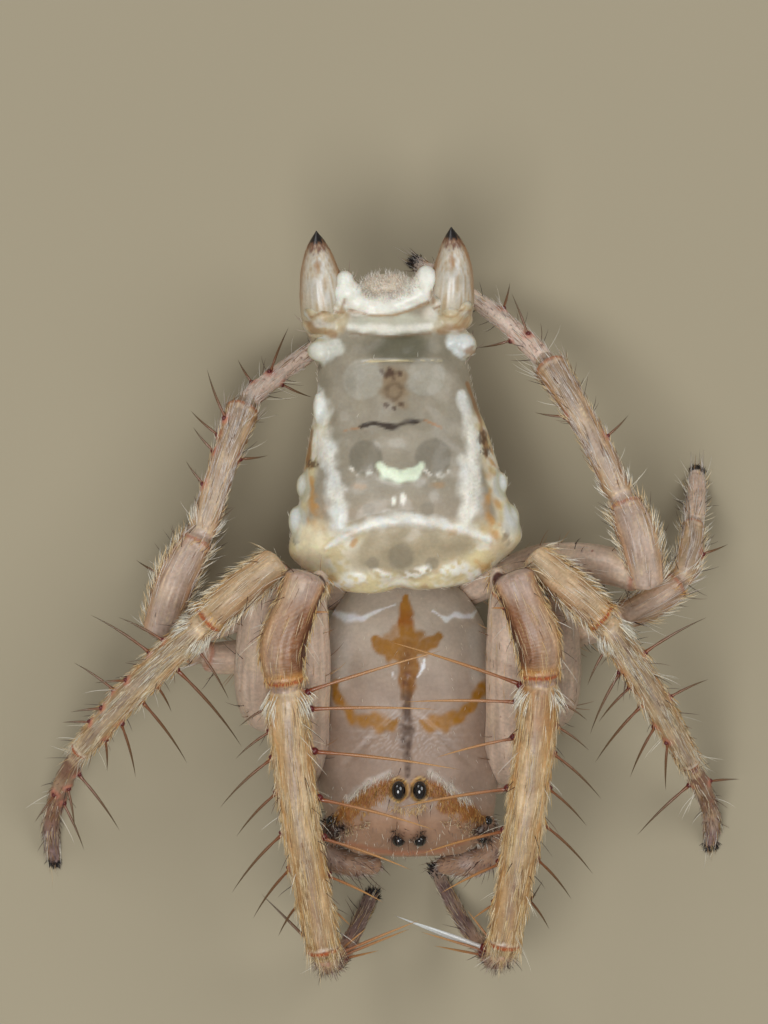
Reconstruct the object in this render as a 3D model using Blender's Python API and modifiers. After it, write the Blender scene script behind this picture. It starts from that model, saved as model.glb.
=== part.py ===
"""A spiny ambush spider with a forked abdomen, at life size, in the stance of its photograph.

The head points along -Y, the spider's left is +X and it stands on z = 0, with the origin on the
floor under the middle of the whole. Places and sizes below are millimetres, measured from a point
on the floor under the waist, and spot() carries them into the metres of the model.
"""
import math

import bmesh
import bpy
from mathutils import Vector

MM = 0.001

# The middle of the whole, seen from the waist
MIDDLE_X = -0.25
MIDDLE_Y = -0.06

# Clearances between the pieces that meet
GAP = 0.11
EYE_GAP = 0.05
ABDOMEN_GAP = 0.15
WELD = 0.0005 * MM

# Half-ball steps that round off the near end of every limb
DOME_ANGLES = (28, 60)
END_STEP = 0.03
SHARP_EDGE = 50


def spot(x, y, z):
    """A place in the model, from millimetres about the waist."""
    return Vector((x - MIDDLE_X, y - MIDDLE_Y, z))


def clear_scene():
    for item in list(bpy.data.objects):
        bpy.data.objects.remove(item)


def finish(name, colour, roughness):
    """A plain surface material."""
    material = bpy.data.materials.new(name)
    material.use_nodes = True
    shader = material.node_tree.nodes["Principled BSDF"]
    shader.inputs["Base Color"].default_value = (*colour, 1.0)
    shader.inputs["Roughness"].default_value = roughness
    shader.inputs["Metallic"].default_value = 0.0
    return material


def through(knots, share):
    """A place or a size on the smooth curve through evenly spaced knots, at a share of its run."""
    run = share * (len(knots) - 1)
    i = min(int(run), len(knots) - 2)
    t = run - i
    here = knots[i]
    ahead = knots[i + 1]
    before = knots[i - 1] if i > 0 else here * 2 - ahead
    beyond = knots[i + 2] if i + 2 < len(knots) else ahead * 2 - here
    straight = (ahead - before) * t
    bend = (before * 2 - here * 5 + ahead * 4 - beyond) * (t * t)
    twist = (here * 3 - before - ahead * 3 + beyond) * (t * t * t)
    return (here * 2 + straight + bend + twist) * 0.5


def heading(degrees, dip):
    """A direction from its compass heading, counted from +X towards +Y, and its dip below level."""
    turn = math.radians(degrees)
    fall = math.radians(dip)
    return Vector((math.cos(turn) * math.cos(fall), math.sin(turn) * math.cos(fall), -math.sin(fall)))


def mesh_object(name, mesh):
    item = bpy.data.objects.new(name, mesh)
    bpy.context.scene.collection.objects.link(item)
    return item


def tidy(mesh):
    """Welds loose caps and turns every face outwards."""
    work = bmesh.new()
    work.from_mesh(mesh)
    bmesh.ops.remove_doubles(work, verts=work.verts, dist=WELD)
    bmesh.ops.recalc_face_normals(work, faces=work.faces)
    work.to_mesh(mesh)
    work.free()


def tube(name, stations, roundness):
    """A closed tube through stations of place and radius."""
    curve = bpy.data.curves.new(name, "CURVE")
    curve.dimensions = "3D"
    curve.bevel_depth = MM
    curve.bevel_resolution = roundness
    curve.use_fill_caps = True
    spline = curve.splines.new("POLY")
    spline.points.add(len(stations) - 1)
    for point, (place, radius) in zip(spline.points, stations):
        point.co = (*(place * MM), 1.0)
        point.radius = radius
    guide = bpy.data.objects.new(name + "_guide", curve)
    bpy.context.scene.collection.objects.link(guide)
    depsgraph = bpy.context.evaluated_depsgraph_get()
    mesh = bpy.data.meshes.new_from_object(guide.evaluated_get(depsgraph))
    tidy(mesh)
    item = mesh_object(name, mesh)
    item.matrix_world = guide.matrix_world
    bpy.data.objects.remove(guide)
    bpy.data.curves.remove(curve)
    return item


class Limb:
    """A tapered, rounded length of leg, palp or horn, on a smooth run through a few knots."""

    def __init__(self, knots, widths, steps, roundness=2, pointed=False):
        self.knots = [spot(*knot) for knot in knots]
        self.widths = widths
        self.steps = steps
        self.roundness = roundness
        self.pointed = pointed

    def place(self, share):
        return through(self.knots, share)

    def radius(self, share):
        return through(self.widths, share) / 2

    def way(self, share):
        """The direction of its run at a share of its length."""
        ahead = self.place(min(share + END_STEP, 1.0))
        behind = self.place(max(share - END_STEP, 0.0))
        return (ahead - behind).normalized()

    def dome(self, share, outward, radius):
        centre = self.place(share)
        rings = []
        for angle in DOME_ANGLES:
            turn = math.radians(angle)
            rings.append((centre + outward * radius * math.cos(turn), radius * math.sin(turn)))
        return rings

    def stations(self, grow):
        near_way = (self.place(0.0) - self.place(END_STEP)).normalized()
        far_way = (self.place(1.0) - self.place(1.0 - END_STEP)).normalized()
        rings = self.dome(0.0, near_way, self.radius(0.0) + grow)
        for i in range(self.steps):
            share = i / (self.steps - 1)
            rings.append((self.place(share), self.radius(share) + grow))
        if self.pointed:
            rings += reversed(self.dome(1.0, far_way, self.radius(1.0) + grow))
        return rings

    def solid(self, name, grow=0.0):
        return tube(name, self.stations(grow), self.roundness)


def closed_loft(name, rings, levels):
    """A closed soft form over like rings of points, rounded by subdivision."""
    work = bmesh.new()
    loops = []
    for ring in rings:
        loops.append([work.verts.new(point * MM) for point in ring])
    for near, far in zip(loops, loops[1:]):
        for i in range(len(near)):
            j = (i + 1) % len(near)
            work.faces.new((near[i], near[j], far[j], far[i]))
    work.faces.new(loops[0])
    work.faces.new(loops[-1])
    bmesh.ops.recalc_face_normals(work, faces=work.faces)
    mesh = bpy.data.meshes.new(name)
    work.to_mesh(mesh)
    work.free()
    item = mesh_object(name, mesh)
    soften = item.modifiers.new("Soften", "SUBSURF")
    soften.levels = levels
    soften.render_levels = levels
    settle(item)
    return item


def settle(item):
    """Applies an object's modifiers to its mesh."""
    depsgraph = bpy.context.evaluated_depsgraph_get()
    mesh = bpy.data.meshes.new_from_object(item.evaluated_get(depsgraph))
    item.modifiers.clear()
    item.data = mesh


def ball(name, centre, radii, grow=0.0, around=8, rings=6):
    """A closed ball or egg."""
    work = bmesh.new()
    bmesh.ops.create_uvsphere(work, u_segments=around, v_segments=rings, radius=1.0)
    for vert in work.verts:
        stretched = Vector([vert.co[i] * (radii[i] + grow) for i in range(3)])
        vert.co = (centre + stretched) * MM
    mesh = bpy.data.meshes.new(name)
    work.to_mesh(mesh)
    work.free()
    return mesh_object(name, mesh)


def combine(item, pieces, operation):
    """Joins closed pieces to an object, or cuts it by them, in one Boolean, and removes them."""
    group = bpy.data.collections.new(item.name + "_pieces")
    bpy.context.scene.collection.children.link(group)
    for piece in pieces:
        bpy.context.scene.collection.objects.unlink(piece)
        group.objects.link(piece)
    boolean = item.modifiers.new("Join", "BOOLEAN")
    boolean.operation = operation
    boolean.operand_type = "COLLECTION"
    boolean.collection = group
    settle(item)
    for piece in pieces:
        bpy.data.objects.remove(piece)
    bpy.data.collections.remove(group)


def keep_largest(item):
    """Keeps only the largest closed surface of a mesh."""
    work = bmesh.new()
    work.from_mesh(item.data)
    work.faces.ensure_lookup_table()
    left = set(work.faces)
    surfaces = []
    while left:
        start = left.pop()
        surface = [start]
        edge_of_search = [start]
        while edge_of_search:
            face = edge_of_search.pop()
            for edge in face.edges:
                for neighbour in edge.link_faces:
                    if neighbour in left:
                        left.remove(neighbour)
                        surface.append(neighbour)
                        edge_of_search.append(neighbour)
        surfaces.append(surface)
    surfaces.sort(key=surface_area)
    scraps = [face for surface in surfaces[:-1] for face in surface]
    bmesh.ops.delete(work, geom=scraps, context="FACES")
    work.to_mesh(item.data)
    work.free()


def surface_area(surface):
    return sum(face.calc_area() for face in surface)


def dress(item, material, collection):
    """Gives a finished node its material and its place in the model's collection."""
    bpy.context.scene.collection.objects.unlink(item)
    collection.objects.link(item)
    item.data.materials.clear()
    item.data.materials.append(material)
    item.data.shade_smooth()
    item.data.set_sharp_from_angle(angle=math.radians(SHARP_EDGE))


# Legs: from the body out, a coxa, a femur, a patella, a tibia and a foot. Each segment runs in
# under the round near end of the next one, which is cut out of it.
SEGMENTS = ("coxa", "femur", "patella", "tibia", "foot")

# Widths along each segment, alike on both sides, and the rings that carry them.
SEGMENT_SIZES = {
    "leg1": {
        "coxa": ((0.50, 0.54, 0.52), 3),
        "femur": ((0.54, 0.72, 0.80, 0.78, 0.62, 0.46), 8),
        "patella": ((0.56, 0.56, 0.62, 0.64, 0.56), 6),
        "tibia": ((0.58, 0.56, 0.48), 6),
        "foot": ((0.44, 0.42, 0.40, 0.36, 0.30), 9),
    },
    "leg2": {
        "coxa": ((0.48, 0.50, 0.48), 3),
        "femur": ((0.48, 0.60, 0.64, 0.62, 0.58, 0.52), 8),
        "patella": ((0.48, 0.56, 0.52), 5),
        "tibia": ((0.50, 0.48, 0.44), 6),
        "foot": ((0.40, 0.38, 0.36, 0.34, 0.28), 8),
    },
    "leg3": {
        "coxa": ((0.44, 0.46, 0.44), 3),
        "femur": ((0.44, 0.48, 0.46, 0.42), 5),
        "patella": ((0.42, 0.44, 0.40), 4),
        "tibia": ((0.40, 0.40, 0.36), 4),
        "foot": ((0.36, 0.36, 0.34, 0.28), 6),
    },
    "leg4": {
        "coxa": ((0.46, 0.48, 0.46), 3),
        "femur": ((0.48, 0.54, 0.54, 0.46), 6),
        "patella": ((0.50, 0.56, 0.56, 0.46), 5),
        "tibia": ((0.44, 0.40, 0.47), 6),
        "foot": ((0.38, 0.38, 0.36, 0.36, 0.28), 8),
    },
}
THICK = 0.60
ROUND = 2
ROUNDER = 3

# The places that each segment's middle line runs through.
LEG_RUNS = {
    "leg1_right": {
        "coxa": ((-1.00, -2.35, 1.15), (-1.20, -2.48, 1.19), (-1.37, -2.53, 1.30)),
        "femur": (
            (-1.41, -2.47, 1.42), (-1.46, -2.22, 1.86), (-1.48, -1.55, 2.36),
            (-1.46, -0.80, 2.80), (-1.43, -0.12, 3.14), (-1.39, 0.18, 3.46),
        ),
        "patella": ((-1.41, 0.30, 3.86), (-1.56, -0.12, 3.86), (-1.73, -0.62, 3.80), (-1.71, -1.13, 3.66)),
        "tibia": ((-1.69, -1.26, 3.62), (-1.50, -3.10, 3.16), (-1.16, -5.00, 2.62)),
        "foot": (
            (-1.14, -5.10, 2.52), (-1.06, -5.20, 1.75), (-0.88, -5.08, 0.98),
            (-0.68, -4.72, 0.50), (-0.47, -4.29, -0.06),
        ),
    },
    "leg1_left": {
        "coxa": ((1.06, -2.35, 1.15), (1.25, -2.49, 1.19), (1.41, -2.54, 1.30)),
        "femur": (
            (1.45, -2.49, 1.42), (1.51, -2.24, 1.86), (1.56, -1.55, 2.36),
            (1.55, -0.80, 2.80), (1.51, -0.12, 3.14), (1.49, 0.17, 3.46),
        ),
        "patella": ((1.54, 0.30, 3.86), (1.69, -0.06, 3.86), (1.87, -0.54, 3.80), (1.92, -1.05, 3.66)),
        "tibia": ((1.93, -1.17, 3.62), (1.72, -3.05, 3.16), (1.41, -4.92, 2.62)),
        "foot": (
            (1.39, -5.02, 2.52), (1.30, -5.14, 1.75), (1.12, -5.02, 0.98),
            (0.84, -4.66, 0.50), (0.44, -3.93, -0.06),
        ),
    },
    "leg2_right": {
        "coxa": ((-1.10, -1.38, 1.12), (-1.38, -1.54, 1.13), (-1.64, -1.65, 1.20)),
        "femur": (
            (-1.73, -1.66, 1.28), (-2.04, -1.58, 1.64), (-2.12, -1.14, 2.08),
            (-2.08, -0.50, 2.44), (-1.99, 0.08, 2.74), (-1.89, 0.38, 3.06),
        ),
        "patella": ((-1.86, 0.52, 3.42), (-2.34, 0.14, 3.56), (-2.80, -0.26, 3.44)),
        "tibia": ((-2.88, -0.34, 3.40), (-3.84, -1.24, 2.52), (-4.66, -2.16, 1.46)),
        "foot": (
            (-4.72, -2.26, 1.36), (-4.96, -2.70, 0.84), (-5.10, -3.14, 0.42),
            (-5.12, -3.48, 0.18), (-5.09, -3.80, -0.04),
        ),
    },
    "leg2_left": {
        "coxa": ((1.14, -1.38, 1.12), (1.42, -1.54, 1.13), (1.68, -1.65, 1.20)),
        "femur": (
            (1.78, -1.66, 1.28), (2.12, -1.57, 1.62), (2.20, -1.14, 2.04),
            (2.17, -0.50, 2.42), (2.07, 0.08, 2.74), (1.92, 0.42, 3.06),
        ),
        "patella": ((1.86, 0.58, 3.42), (2.34, 0.18, 3.56), (2.80, -0.24, 3.44)),
        "tibia": ((2.88, -0.34, 3.40), (3.54, -1.36, 2.52), (4.10, -2.34, 1.46)),
        "foot": (
            (4.15, -2.44, 1.36), (4.32, -2.78, 0.84), (4.42, -3.06, 0.42),
            (4.45, -3.30, 0.18), (4.44, -3.56, -0.04),
        ),
    },
    "leg3_right": {
        "coxa": ((-1.10, -0.66, 1.05), (-1.40, -0.70, 1.07), (-1.66, -0.74, 1.13)),
        "femur": ((-1.76, -0.75, 1.17), (-2.20, -0.81, 1.36), (-2.64, -0.84, 1.54), (-2.82, -0.82, 1.60)),
        "patella": ((-2.95, -0.80, 1.58), (-3.18, -0.50, 1.48), (-3.34, -0.15, 1.32)),
        "tibia": ((-3.37, -0.06, 1.27), (-3.36, 0.27, 1.00), (-3.26, 0.56, 0.72)),
        "foot": ((-3.23, 0.64, 0.64), (-3.10, 0.88, 0.34), (-2.94, 1.09, 0.14), (-2.79, 1.28, -0.04)),
    },
    "leg3_left": {
        "coxa": ((1.12, -0.62, 1.05), (1.42, -0.64, 1.12), (1.68, -0.64, 1.22)),
        "femur": ((1.78, -0.63, 1.28), (2.30, -0.50, 1.56), (2.84, -0.34, 1.78), (3.04, -0.28, 1.80)),
        "patella": ((3.18, -0.22, 1.80), (3.58, -0.02, 1.78), (3.90, 0.20, 1.68)),
        "tibia": ((3.98, 0.28, 1.64), (4.10, 0.66, 1.34), (4.16, 1.06, 0.98)),
        "foot": ((4.18, 1.14, 0.88), (4.21, 1.36, 0.52), (4.23, 1.60, 0.20), (4.24, 1.82, -0.04)),
    },
    "leg4_right": {
        "coxa": ((-0.76, 0.02, 1.15), (-1.06, 0.08, 1.22), (-1.34, 0.10, 1.36)),
        "femur": ((-1.44, 0.09, 1.42), (-2.06, -0.06, 1.78), (-2.90, -0.34, 2.12), (-3.36, -0.46, 2.18)),
        "patella": ((-3.51, -0.43, 2.20), (-3.30, 0.22, 2.42), (-2.98, 0.84, 2.36)),
        "tibia": ((-2.91, 0.94, 2.32), (-2.64, 1.84, 1.98), (-2.34, 2.72, 1.46)),
        "foot": (
            (-2.29, 2.82, 1.38), (-1.88, 3.20, 0.98), (-1.38, 3.56, 0.60),
            (-0.90, 3.88, 0.26), (-0.42, 4.22, -0.05),
        ),
    },
    "leg4_left": {
        "coxa": ((0.78, 0.06, 1.15), (1.06, 0.20, 1.24), (1.34, 0.33, 1.39)),
        "femur": ((1.44, 0.37, 1.45), (2.06, 0.54, 1.86), (2.86, 0.50, 2.32), (3.30, 0.34, 2.46)),
        "patella": ((3.46, 0.26, 2.50), (3.34, 0.86, 2.66), (3.14, 1.36, 2.52)),
        "tibia": ((3.10, 1.46, 2.48), (2.64, 2.42, 2.08), (2.10, 3.34, 1.44)),
        "foot": (
            (2.03, 3.43, 1.36), (1.56, 3.90, 0.96), (1.06, 4.30, 0.58),
            (0.62, 4.60, 0.26), (0.16, 4.88, -0.05),
        ),
    },
}

# The floor, as a slab that leaves each foot its small flat.
FLOOR_SIZE = (16.0, 16.0, 2.0)


def leg_segment(leg, segment):
    widths, rings = SEGMENT_SIZES[leg.split("_")[0]][segment]
    roundness = ROUNDER if max(widths) >= THICK else ROUND
    return Limb(LEG_RUNS[leg][segment], widths, rings, roundness)


# Abdomen: distance behind its front edge, half width, top, rim and belly heights.
ABDOMEN_FRONT_X = 0.05
ABDOMEN_FRONT_Y = 0.22
ABDOMEN_YAW = 4.2
ABDOMEN_STATIONS = (
    (0.00, 0.94, 2.98, 2.72, 2.44),
    (0.16, 1.22, 3.12, 2.72, 2.20),
    (0.42, 1.56, 3.26, 2.72, 1.84),
    (0.66, 1.67, 3.36, 2.70, 1.56),
    (1.20, 1.50, 3.46, 2.68, 1.22),
    (1.95, 1.32, 3.48, 2.66, 1.06),
    (2.75, 1.12, 3.34, 2.64, 1.14),
    (3.45, 1.05, 3.18, 2.62, 1.48),
    (3.90, 0.98, 3.08, 2.62, 1.92),
    (4.16, 0.74, 2.94, 2.62, 2.24),
)

# Cephalothorax: place along Y, middle, half width, top, rim and belly heights.
THORAX_STATIONS = (
    (0.34, 0.00, 0.46, 1.78, 1.44, 1.10),
    (0.10, 0.00, 0.84, 1.96, 1.42, 0.92),
    (-0.50, 0.00, 1.20, 2.20, 1.42, 0.80),
    (-1.30, 0.01, 1.38, 2.36, 1.44, 0.74),
    (-2.05, 0.03, 1.36, 2.42, 1.48, 0.78),
    (-2.70, 0.05, 1.28, 2.50, 1.58, 0.90),
    (-3.15, 0.06, 1.20, 2.42, 1.70, 1.12),
    (-3.46, 0.06, 1.04, 2.16, 1.72, 1.34),
    (-3.60, 0.06, 0.84, 1.94, 1.70, 1.46),
)
RING_POINTS = 12

# A cage of this many points lies this much outside the round form that subdivision leaves
CAGE_OUTSET = 3 / (2 + math.cos(2 * math.pi / RING_POINTS))

# How full the back's arch is at its sides and crown, and how much the belly's keel narrows
ARCH_SIDE = 0.85
ARCH_CROWN = 0.9
KEEL_SIDE = 1.25


def section(centre, across, half_width, top, rim, belly, grow):
    """One ring of a body form: a flattened arch over its rim and a narrower keel below it."""
    wide = (half_width + grow) * CAGE_OUTSET
    ring = []
    for i in range(RING_POINTS):
        turn = 2 * math.pi * i / RING_POINTS
        side = math.cos(turn)
        lift = math.sin(turn)
        if lift >= 0:
            out = math.copysign(abs(side) ** ARCH_SIDE, side)
            up = (top - rim + grow) * lift ** ARCH_CROWN
        else:
            out = math.copysign(abs(side) ** KEEL_SIDE, side)
            up = -(rim - belly + grow) * abs(lift)
        ring.append(centre + across * (wide * out) + Vector((0, 0, rim + up * CAGE_OUTSET)))
    return ring


def abdomen_place(back, side, height):
    """A place on the turned abdomen, from its front edge backwards and its midline sideways."""
    turn = math.radians(ABDOMEN_YAW)
    along = Vector((-math.sin(turn), math.cos(turn), 0))
    across = Vector((math.cos(turn), math.sin(turn), 0))
    return spot(ABDOMEN_FRONT_X, ABDOMEN_FRONT_Y, 0) + along * back + across * side + Vector((0, 0, height))


def abdomen_form(name, grow=0.0):
    turn = math.radians(ABDOMEN_YAW)
    across = Vector((math.cos(turn), math.sin(turn), 0))
    last = len(ABDOMEN_STATIONS) - 1
    rings = []
    for i, (back, half_width, top, rim, belly) in enumerate(ABDOMEN_STATIONS):
        if i == 0:
            back -= grow
        if i == last:
            back += grow
        rings.append(section(abdomen_place(back, 0, 0), across, half_width, top, rim, belly, grow))
    return closed_loft(name, rings, 1)


def thorax_form(name):
    rings = []
    for place_y, middle, half_width, top, rim, belly in THORAX_STATIONS:
        rings.append(section(spot(middle, place_y, 0), Vector((1, 0, 0)), half_width, top, rim, belly, 0.0))
    return closed_loft(name, rings, 1)


# Horns: one stout cone on each rear corner, its tip raised, from a rounded bulb of the abdomen.
HORN_WIDTHS = (0.52, 0.52, 0.16)
HORN_RINGS = 7
HORN_RUNS = {
    "horn_right": ((-1.16, 4.10, 2.72), (-1.21, 4.62, 2.86), (-1.24, 5.12, 3.02)),
    "horn_left": ((0.60, 4.20, 2.72), (0.66, 4.70, 2.86), (0.67, 5.20, 3.02)),
}
HORNS = {name: Limb(run, HORN_WIDTHS, HORN_RINGS, ROUNDER, True) for name, run in HORN_RUNS.items()}
HORN_BULB = (0.34, 0.36, 0.34)
HORN_BULBS = ((-1.10, 3.94, 2.64), (0.56, 4.02, 2.64))

# Between them the rump rolls up, and small knobs stand along the sides.
RUMP_RUN = ((-0.84, 4.30, 2.90), (-0.24, 4.36, 2.76), (0.38, 4.38, 2.90))
RUMP_WIDTHS = (0.34, 0.32, 0.34)
RUMP_RINGS = 7
RUMP_ROLL = Limb(RUMP_RUN, RUMP_WIDTHS, RUMP_RINGS, ROUND, True)
KNOB = (0.14, 0.14, 0.12)
SIDE_KNOBS = (
    (-1.42, 1.66, 2.70), (-1.60, 1.12, 2.72), (-1.10, 3.52, 2.66),
    (1.40, 1.70, 2.70), (1.56, 1.20, 2.72), (0.80, 3.60, 2.66),
)
BULB_FACES = {"around": 10, "rings": 8}

# Spinnerets: a short cone of fingers under the rear.
SPINNERET_RUN = ((-0.18, 3.46, 1.50), (-0.20, 3.72, 1.28), (-0.21, 3.86, 1.14))
SPINNERET_WIDTHS = (0.56, 0.50, 0.40)
SPINNERET_RINGS = 4
SPINNERET_BASE = Limb(SPINNERET_RUN, SPINNERET_WIDTHS, SPINNERET_RINGS, ROUND, True)
FINGERS = 4
FINGER_ROOT = 0.08
FINGER_SPREAD = 0.16
FINGER_LENGTH = 0.30
FINGER_WIDTH = 0.20
FINGER_TIP = 0.06

# Head: two upright jaws with folded fangs, two soft palps curled in before them, and eight eyes.
# Places are for the left side, sideways from the middle of the head.
HEAD_MIDDLE = 0.06
JAW_RUN = ((0.30, -3.20, 1.62), (0.30, -3.36, 1.36), (0.30, -3.38, 1.00), (0.30, -3.30, 0.70))
JAW_WIDTHS = (0.46, 0.48, 0.40, 0.30)
JAW_RINGS = 6
FANG_RUN = ((0.34, -3.28, 0.72), (0.30, -3.24, 0.54), (0.20, -3.16, 0.46), (0.10, -3.06, 0.46))
FANG_WIDTHS = (0.18, 0.14, 0.10, 0.04)
FANG_RINGS = 5
PALP_RUN = (
    (0.72, -2.86, 1.06), (1.00, -3.14, 1.10), (1.16, -3.48, 1.22),
    (1.08, -3.72, 1.34), (0.82, -3.80, 1.36), (0.54, -3.82, 1.30),
)
PALP_WIDTHS = (0.34, 0.36, 0.38, 0.40, 0.38, 0.30)
PALP_RINGS = 8
EYES = {
    "eye_rear_median": ((0.157, -2.72, 2.60), 0.115),
    "eye_front_median": ((0.150, -3.36, 2.22), 0.110),
    "eye_front_lateral": ((1.06, -3.40, 1.98), 0.095),
    "eye_rear_lateral": ((1.12, -3.16, 2.06), 0.095),
}
EYE_TURRET = ((0.0, -3.02, 2.22), (0.34, 0.52, 0.36))
EYE_TUBERCLE = ((1.05, -3.26, 1.94), (0.24, 0.28, 0.22))
WAIST_RUN = ((0.0, 0.10, 1.42), (-0.02, 0.50, 1.52), (-0.04, 1.10, 1.80))
WAIST_WIDTHS = (0.50, 0.42, 0.40)
WAIST_RINGS = 5
WAIST = Limb(WAIST_RUN, WAIST_WIDTHS, WAIST_RINGS, ROUND)

SIDES = {"right": -1, "left": 1}


def mirrored(place, side):
    return (HEAD_MIDDLE + side * place[0], place[1], place[2])


def sided(run, side):
    return [mirrored(place, side) for place in run]


def jaw(side):
    return Limb(sided(JAW_RUN, side), JAW_WIDTHS, JAW_RINGS, ROUND, True)


def fang(side):
    return Limb(sided(FANG_RUN, side), FANG_WIDTHS, FANG_RINGS, 1, True)


def palp(side):
    return Limb(sided(PALP_RUN, side), PALP_WIDTHS, PALP_RINGS, ROUND, True)


# Spines: their widths, and for each segment the share of its length where a spine stands, its
# compass heading, its dip below level and its length.
SPINE_ROOT = 0.34
SPINE_ROOT_FLARE = 0.06
SPINE_NECK = 0.20
SPINE_NECK_SHARE = 0.22
SPINE_TIP = 0.05
SPINE_SUNK = 0.45
SPINES = {
    "leg1_right_tibia": (
        (0.050, 17, -3, 2.02), (0.105, 0, -4, 1.86), (0.250, -7, 1, 2.15), (0.430, -15, 8, 1.80),
        (0.590, -20, 16, 1.45), (0.730, -26, 24, 1.00), (0.860, -42, 30, 0.45),
        (0.060, 213, 10, 0.50), (0.150, 218, 10, 0.65), (0.260, 223, 12, 1.08), (0.390, 227, 15, 0.90),
        (0.550, 229, 15, 1.18), (0.680, 233, 20, 0.96), (0.810, 238, 25, 0.62),
    ),
    "leg1_right_foot": ((0.080, 22, 14, 1.30), (0.190, 21, 22, 1.17), (0.300, 12, 30, 0.60)),
    "leg1_left_tibia": (
        (0.050, 162, 9, 2.02), (0.105, 180, 9, 1.68), (0.220, 194, 12, 1.20), (0.410, 190, 15, 1.70),
        (0.580, 196, 25, 1.42), (0.700, 207, 25, 1.08), (0.860, 215, 30, 0.50),
        (0.060, -33, 10, 0.50), (0.150, -36, 10, 0.60), (0.260, -43, 12, 0.98), (0.390, -44, 15, 0.80),
        (0.530, -45, 15, 1.06), (0.660, -49, 20, 0.83), (0.810, -55, 25, 0.60),
    ),
    "leg1_left_foot": ((0.070, 160, 0, 1.15), (0.180, 159, 16, 1.49)),
    "leg2_right_tibia": (
        (0.110, -58, 10, 0.86), (0.283, -50, 14, 1.51), (0.415, -61, 20, 0.45), (0.540, -54, 16, 1.15),
        (0.710, -75, 18, 0.86), (0.840, -87, 20, 0.50),
        (0.204, 152, -8, 0.73), (0.310, 147, -8, 1.02), (0.479, 184, -4, 0.45), (0.595, 145, -6, 0.70),
        (0.690, 186, 0, 0.45), (0.810, 180, 0, 0.40),
    ),
    "leg2_right_foot": (
        (0.100, -54, 10, 1.04), (0.200, -80, 10, 0.60), (0.340, -66, 8, 0.76), (0.280, 234, 0, 0.49),
    ),
    "leg2_left_tibia": (
        (0.100, 243, 12, 0.60), (0.267, 244, 14, 1.03), (0.390, 228, 16, 0.71), (0.515, 231, 18, 1.13),
        (0.660, 244, 18, 0.87), (0.780, 268, 18, 0.74), (0.257, 30, -8, 1.04), (0.560, 25, -4, 0.61),
    ),
    "leg2_left_foot": ((0.120, 224, 12, 1.08), (0.150, 4, 5, 0.45)),
    "leg3_right_tibia": ((0.550, 150, 5, 0.40),),
    "leg3_left_tibia": ((0.500, 20, 0, 0.40),),
    "leg4_right_tibia": (
        (0.344, 128, -5, 0.42), (0.600, 131, -5, 0.46), (0.740, 139, 0, 0.53), (0.860, 111, 0, 0.76),
        (0.620, 6, 5, 0.42),
    ),
    "leg4_right_foot": ((0.220, 68, 0, 0.71), (0.120, 122, 0, 0.40), (0.250, -24, 8, 0.49)),
    "leg4_left_tibia": ((0.415, 44, -5, 0.44), (0.650, 173, 5, 0.45)),
    "leg4_left_foot": ((0.150, 111, -5, 0.63), (0.350, 75, 0, 0.40), (0.210, 193, 10, 0.50)),
}


def spine(name, limb, share, turn, dip, length):
    """One tapered spine, its swollen root sunk in its limb."""
    way = heading(turn, dip)
    centre = limb.place(share)
    run = limb.way(share)
    outward = (way - run * way.dot(run)).normalized()
    skin = centre + outward * limb.radius(share)
    root = centre + outward * limb.radius(share) * SPINE_SUNK
    root_width = SPINE_ROOT + SPINE_ROOT_FLARE * length
    stations = [
        (root, root_width / 2),
        (skin + way * length * SPINE_NECK_SHARE, SPINE_NECK / 2),
        (skin + way * length, SPINE_TIP / 2),
    ]
    return tube(name, stations, 0)


def leg_piece(node, limb, following, collection, material):
    """One segment of a leg, with the next segment's round end cut out of its own."""
    item = limb.solid(node)
    spines = [spine(f"{node}_spine_{i}", limb, *entry) for i, entry in enumerate(SPINES.get(node, ()))]
    if spines:
        combine(item, spines, "UNION")
    if following:
        cutter = following.solid(node + "_socket", GAP)
    else:
        cutter = floor_slab()
    combine(item, [cutter], "DIFFERENCE")
    keep_largest(item)
    dress(item, material, collection)


def floor_slab():
    work = bmesh.new()
    bmesh.ops.create_cube(work, size=1.0)
    for vert in work.verts:
        vert.co = Vector([vert.co[i] * FLOOR_SIZE[i] * MM for i in range(3)])
        vert.co.z -= FLOOR_SIZE[2] / 2 * MM
    mesh = bpy.data.meshes.new("floor_slab")
    work.to_mesh(mesh)
    work.free()
    return mesh_object("floor_slab", mesh)


def build_legs(collection, material):
    for leg in LEG_RUNS:
        limbs = [leg_segment(leg, segment) for segment in SEGMENTS]
        for segment, limb, following in zip(SEGMENTS, limbs, limbs[1:] + [None]):
            leg_piece(f"{leg}_{segment}", limb, following, collection, material)


def build_abdomen(collection, material, horn_material):
    item = abdomen_form("abdomen")
    parts = [RUMP_ROLL.solid("roll")]
    for i, place in enumerate(HORN_BULBS):
        parts.append(ball(f"bulb_{i}", spot(*place), HORN_BULB, **BULB_FACES))
    for i, place in enumerate(SIDE_KNOBS):
        parts.append(ball(f"knob_{i}", spot(*place), KNOB))
    combine(item, parts, "UNION")
    cutters = [horn.solid(name + "_socket", GAP) for name, horn in HORNS.items()]
    cutters.append(SPINNERET_BASE.solid("spinneret_socket", GAP))
    combine(item, cutters, "DIFFERENCE")
    keep_largest(item)
    dress(item, material, collection)
    for name, horn in HORNS.items():
        dress(horn.solid(name), horn_material, collection)
    build_spinnerets(collection, material)


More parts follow.
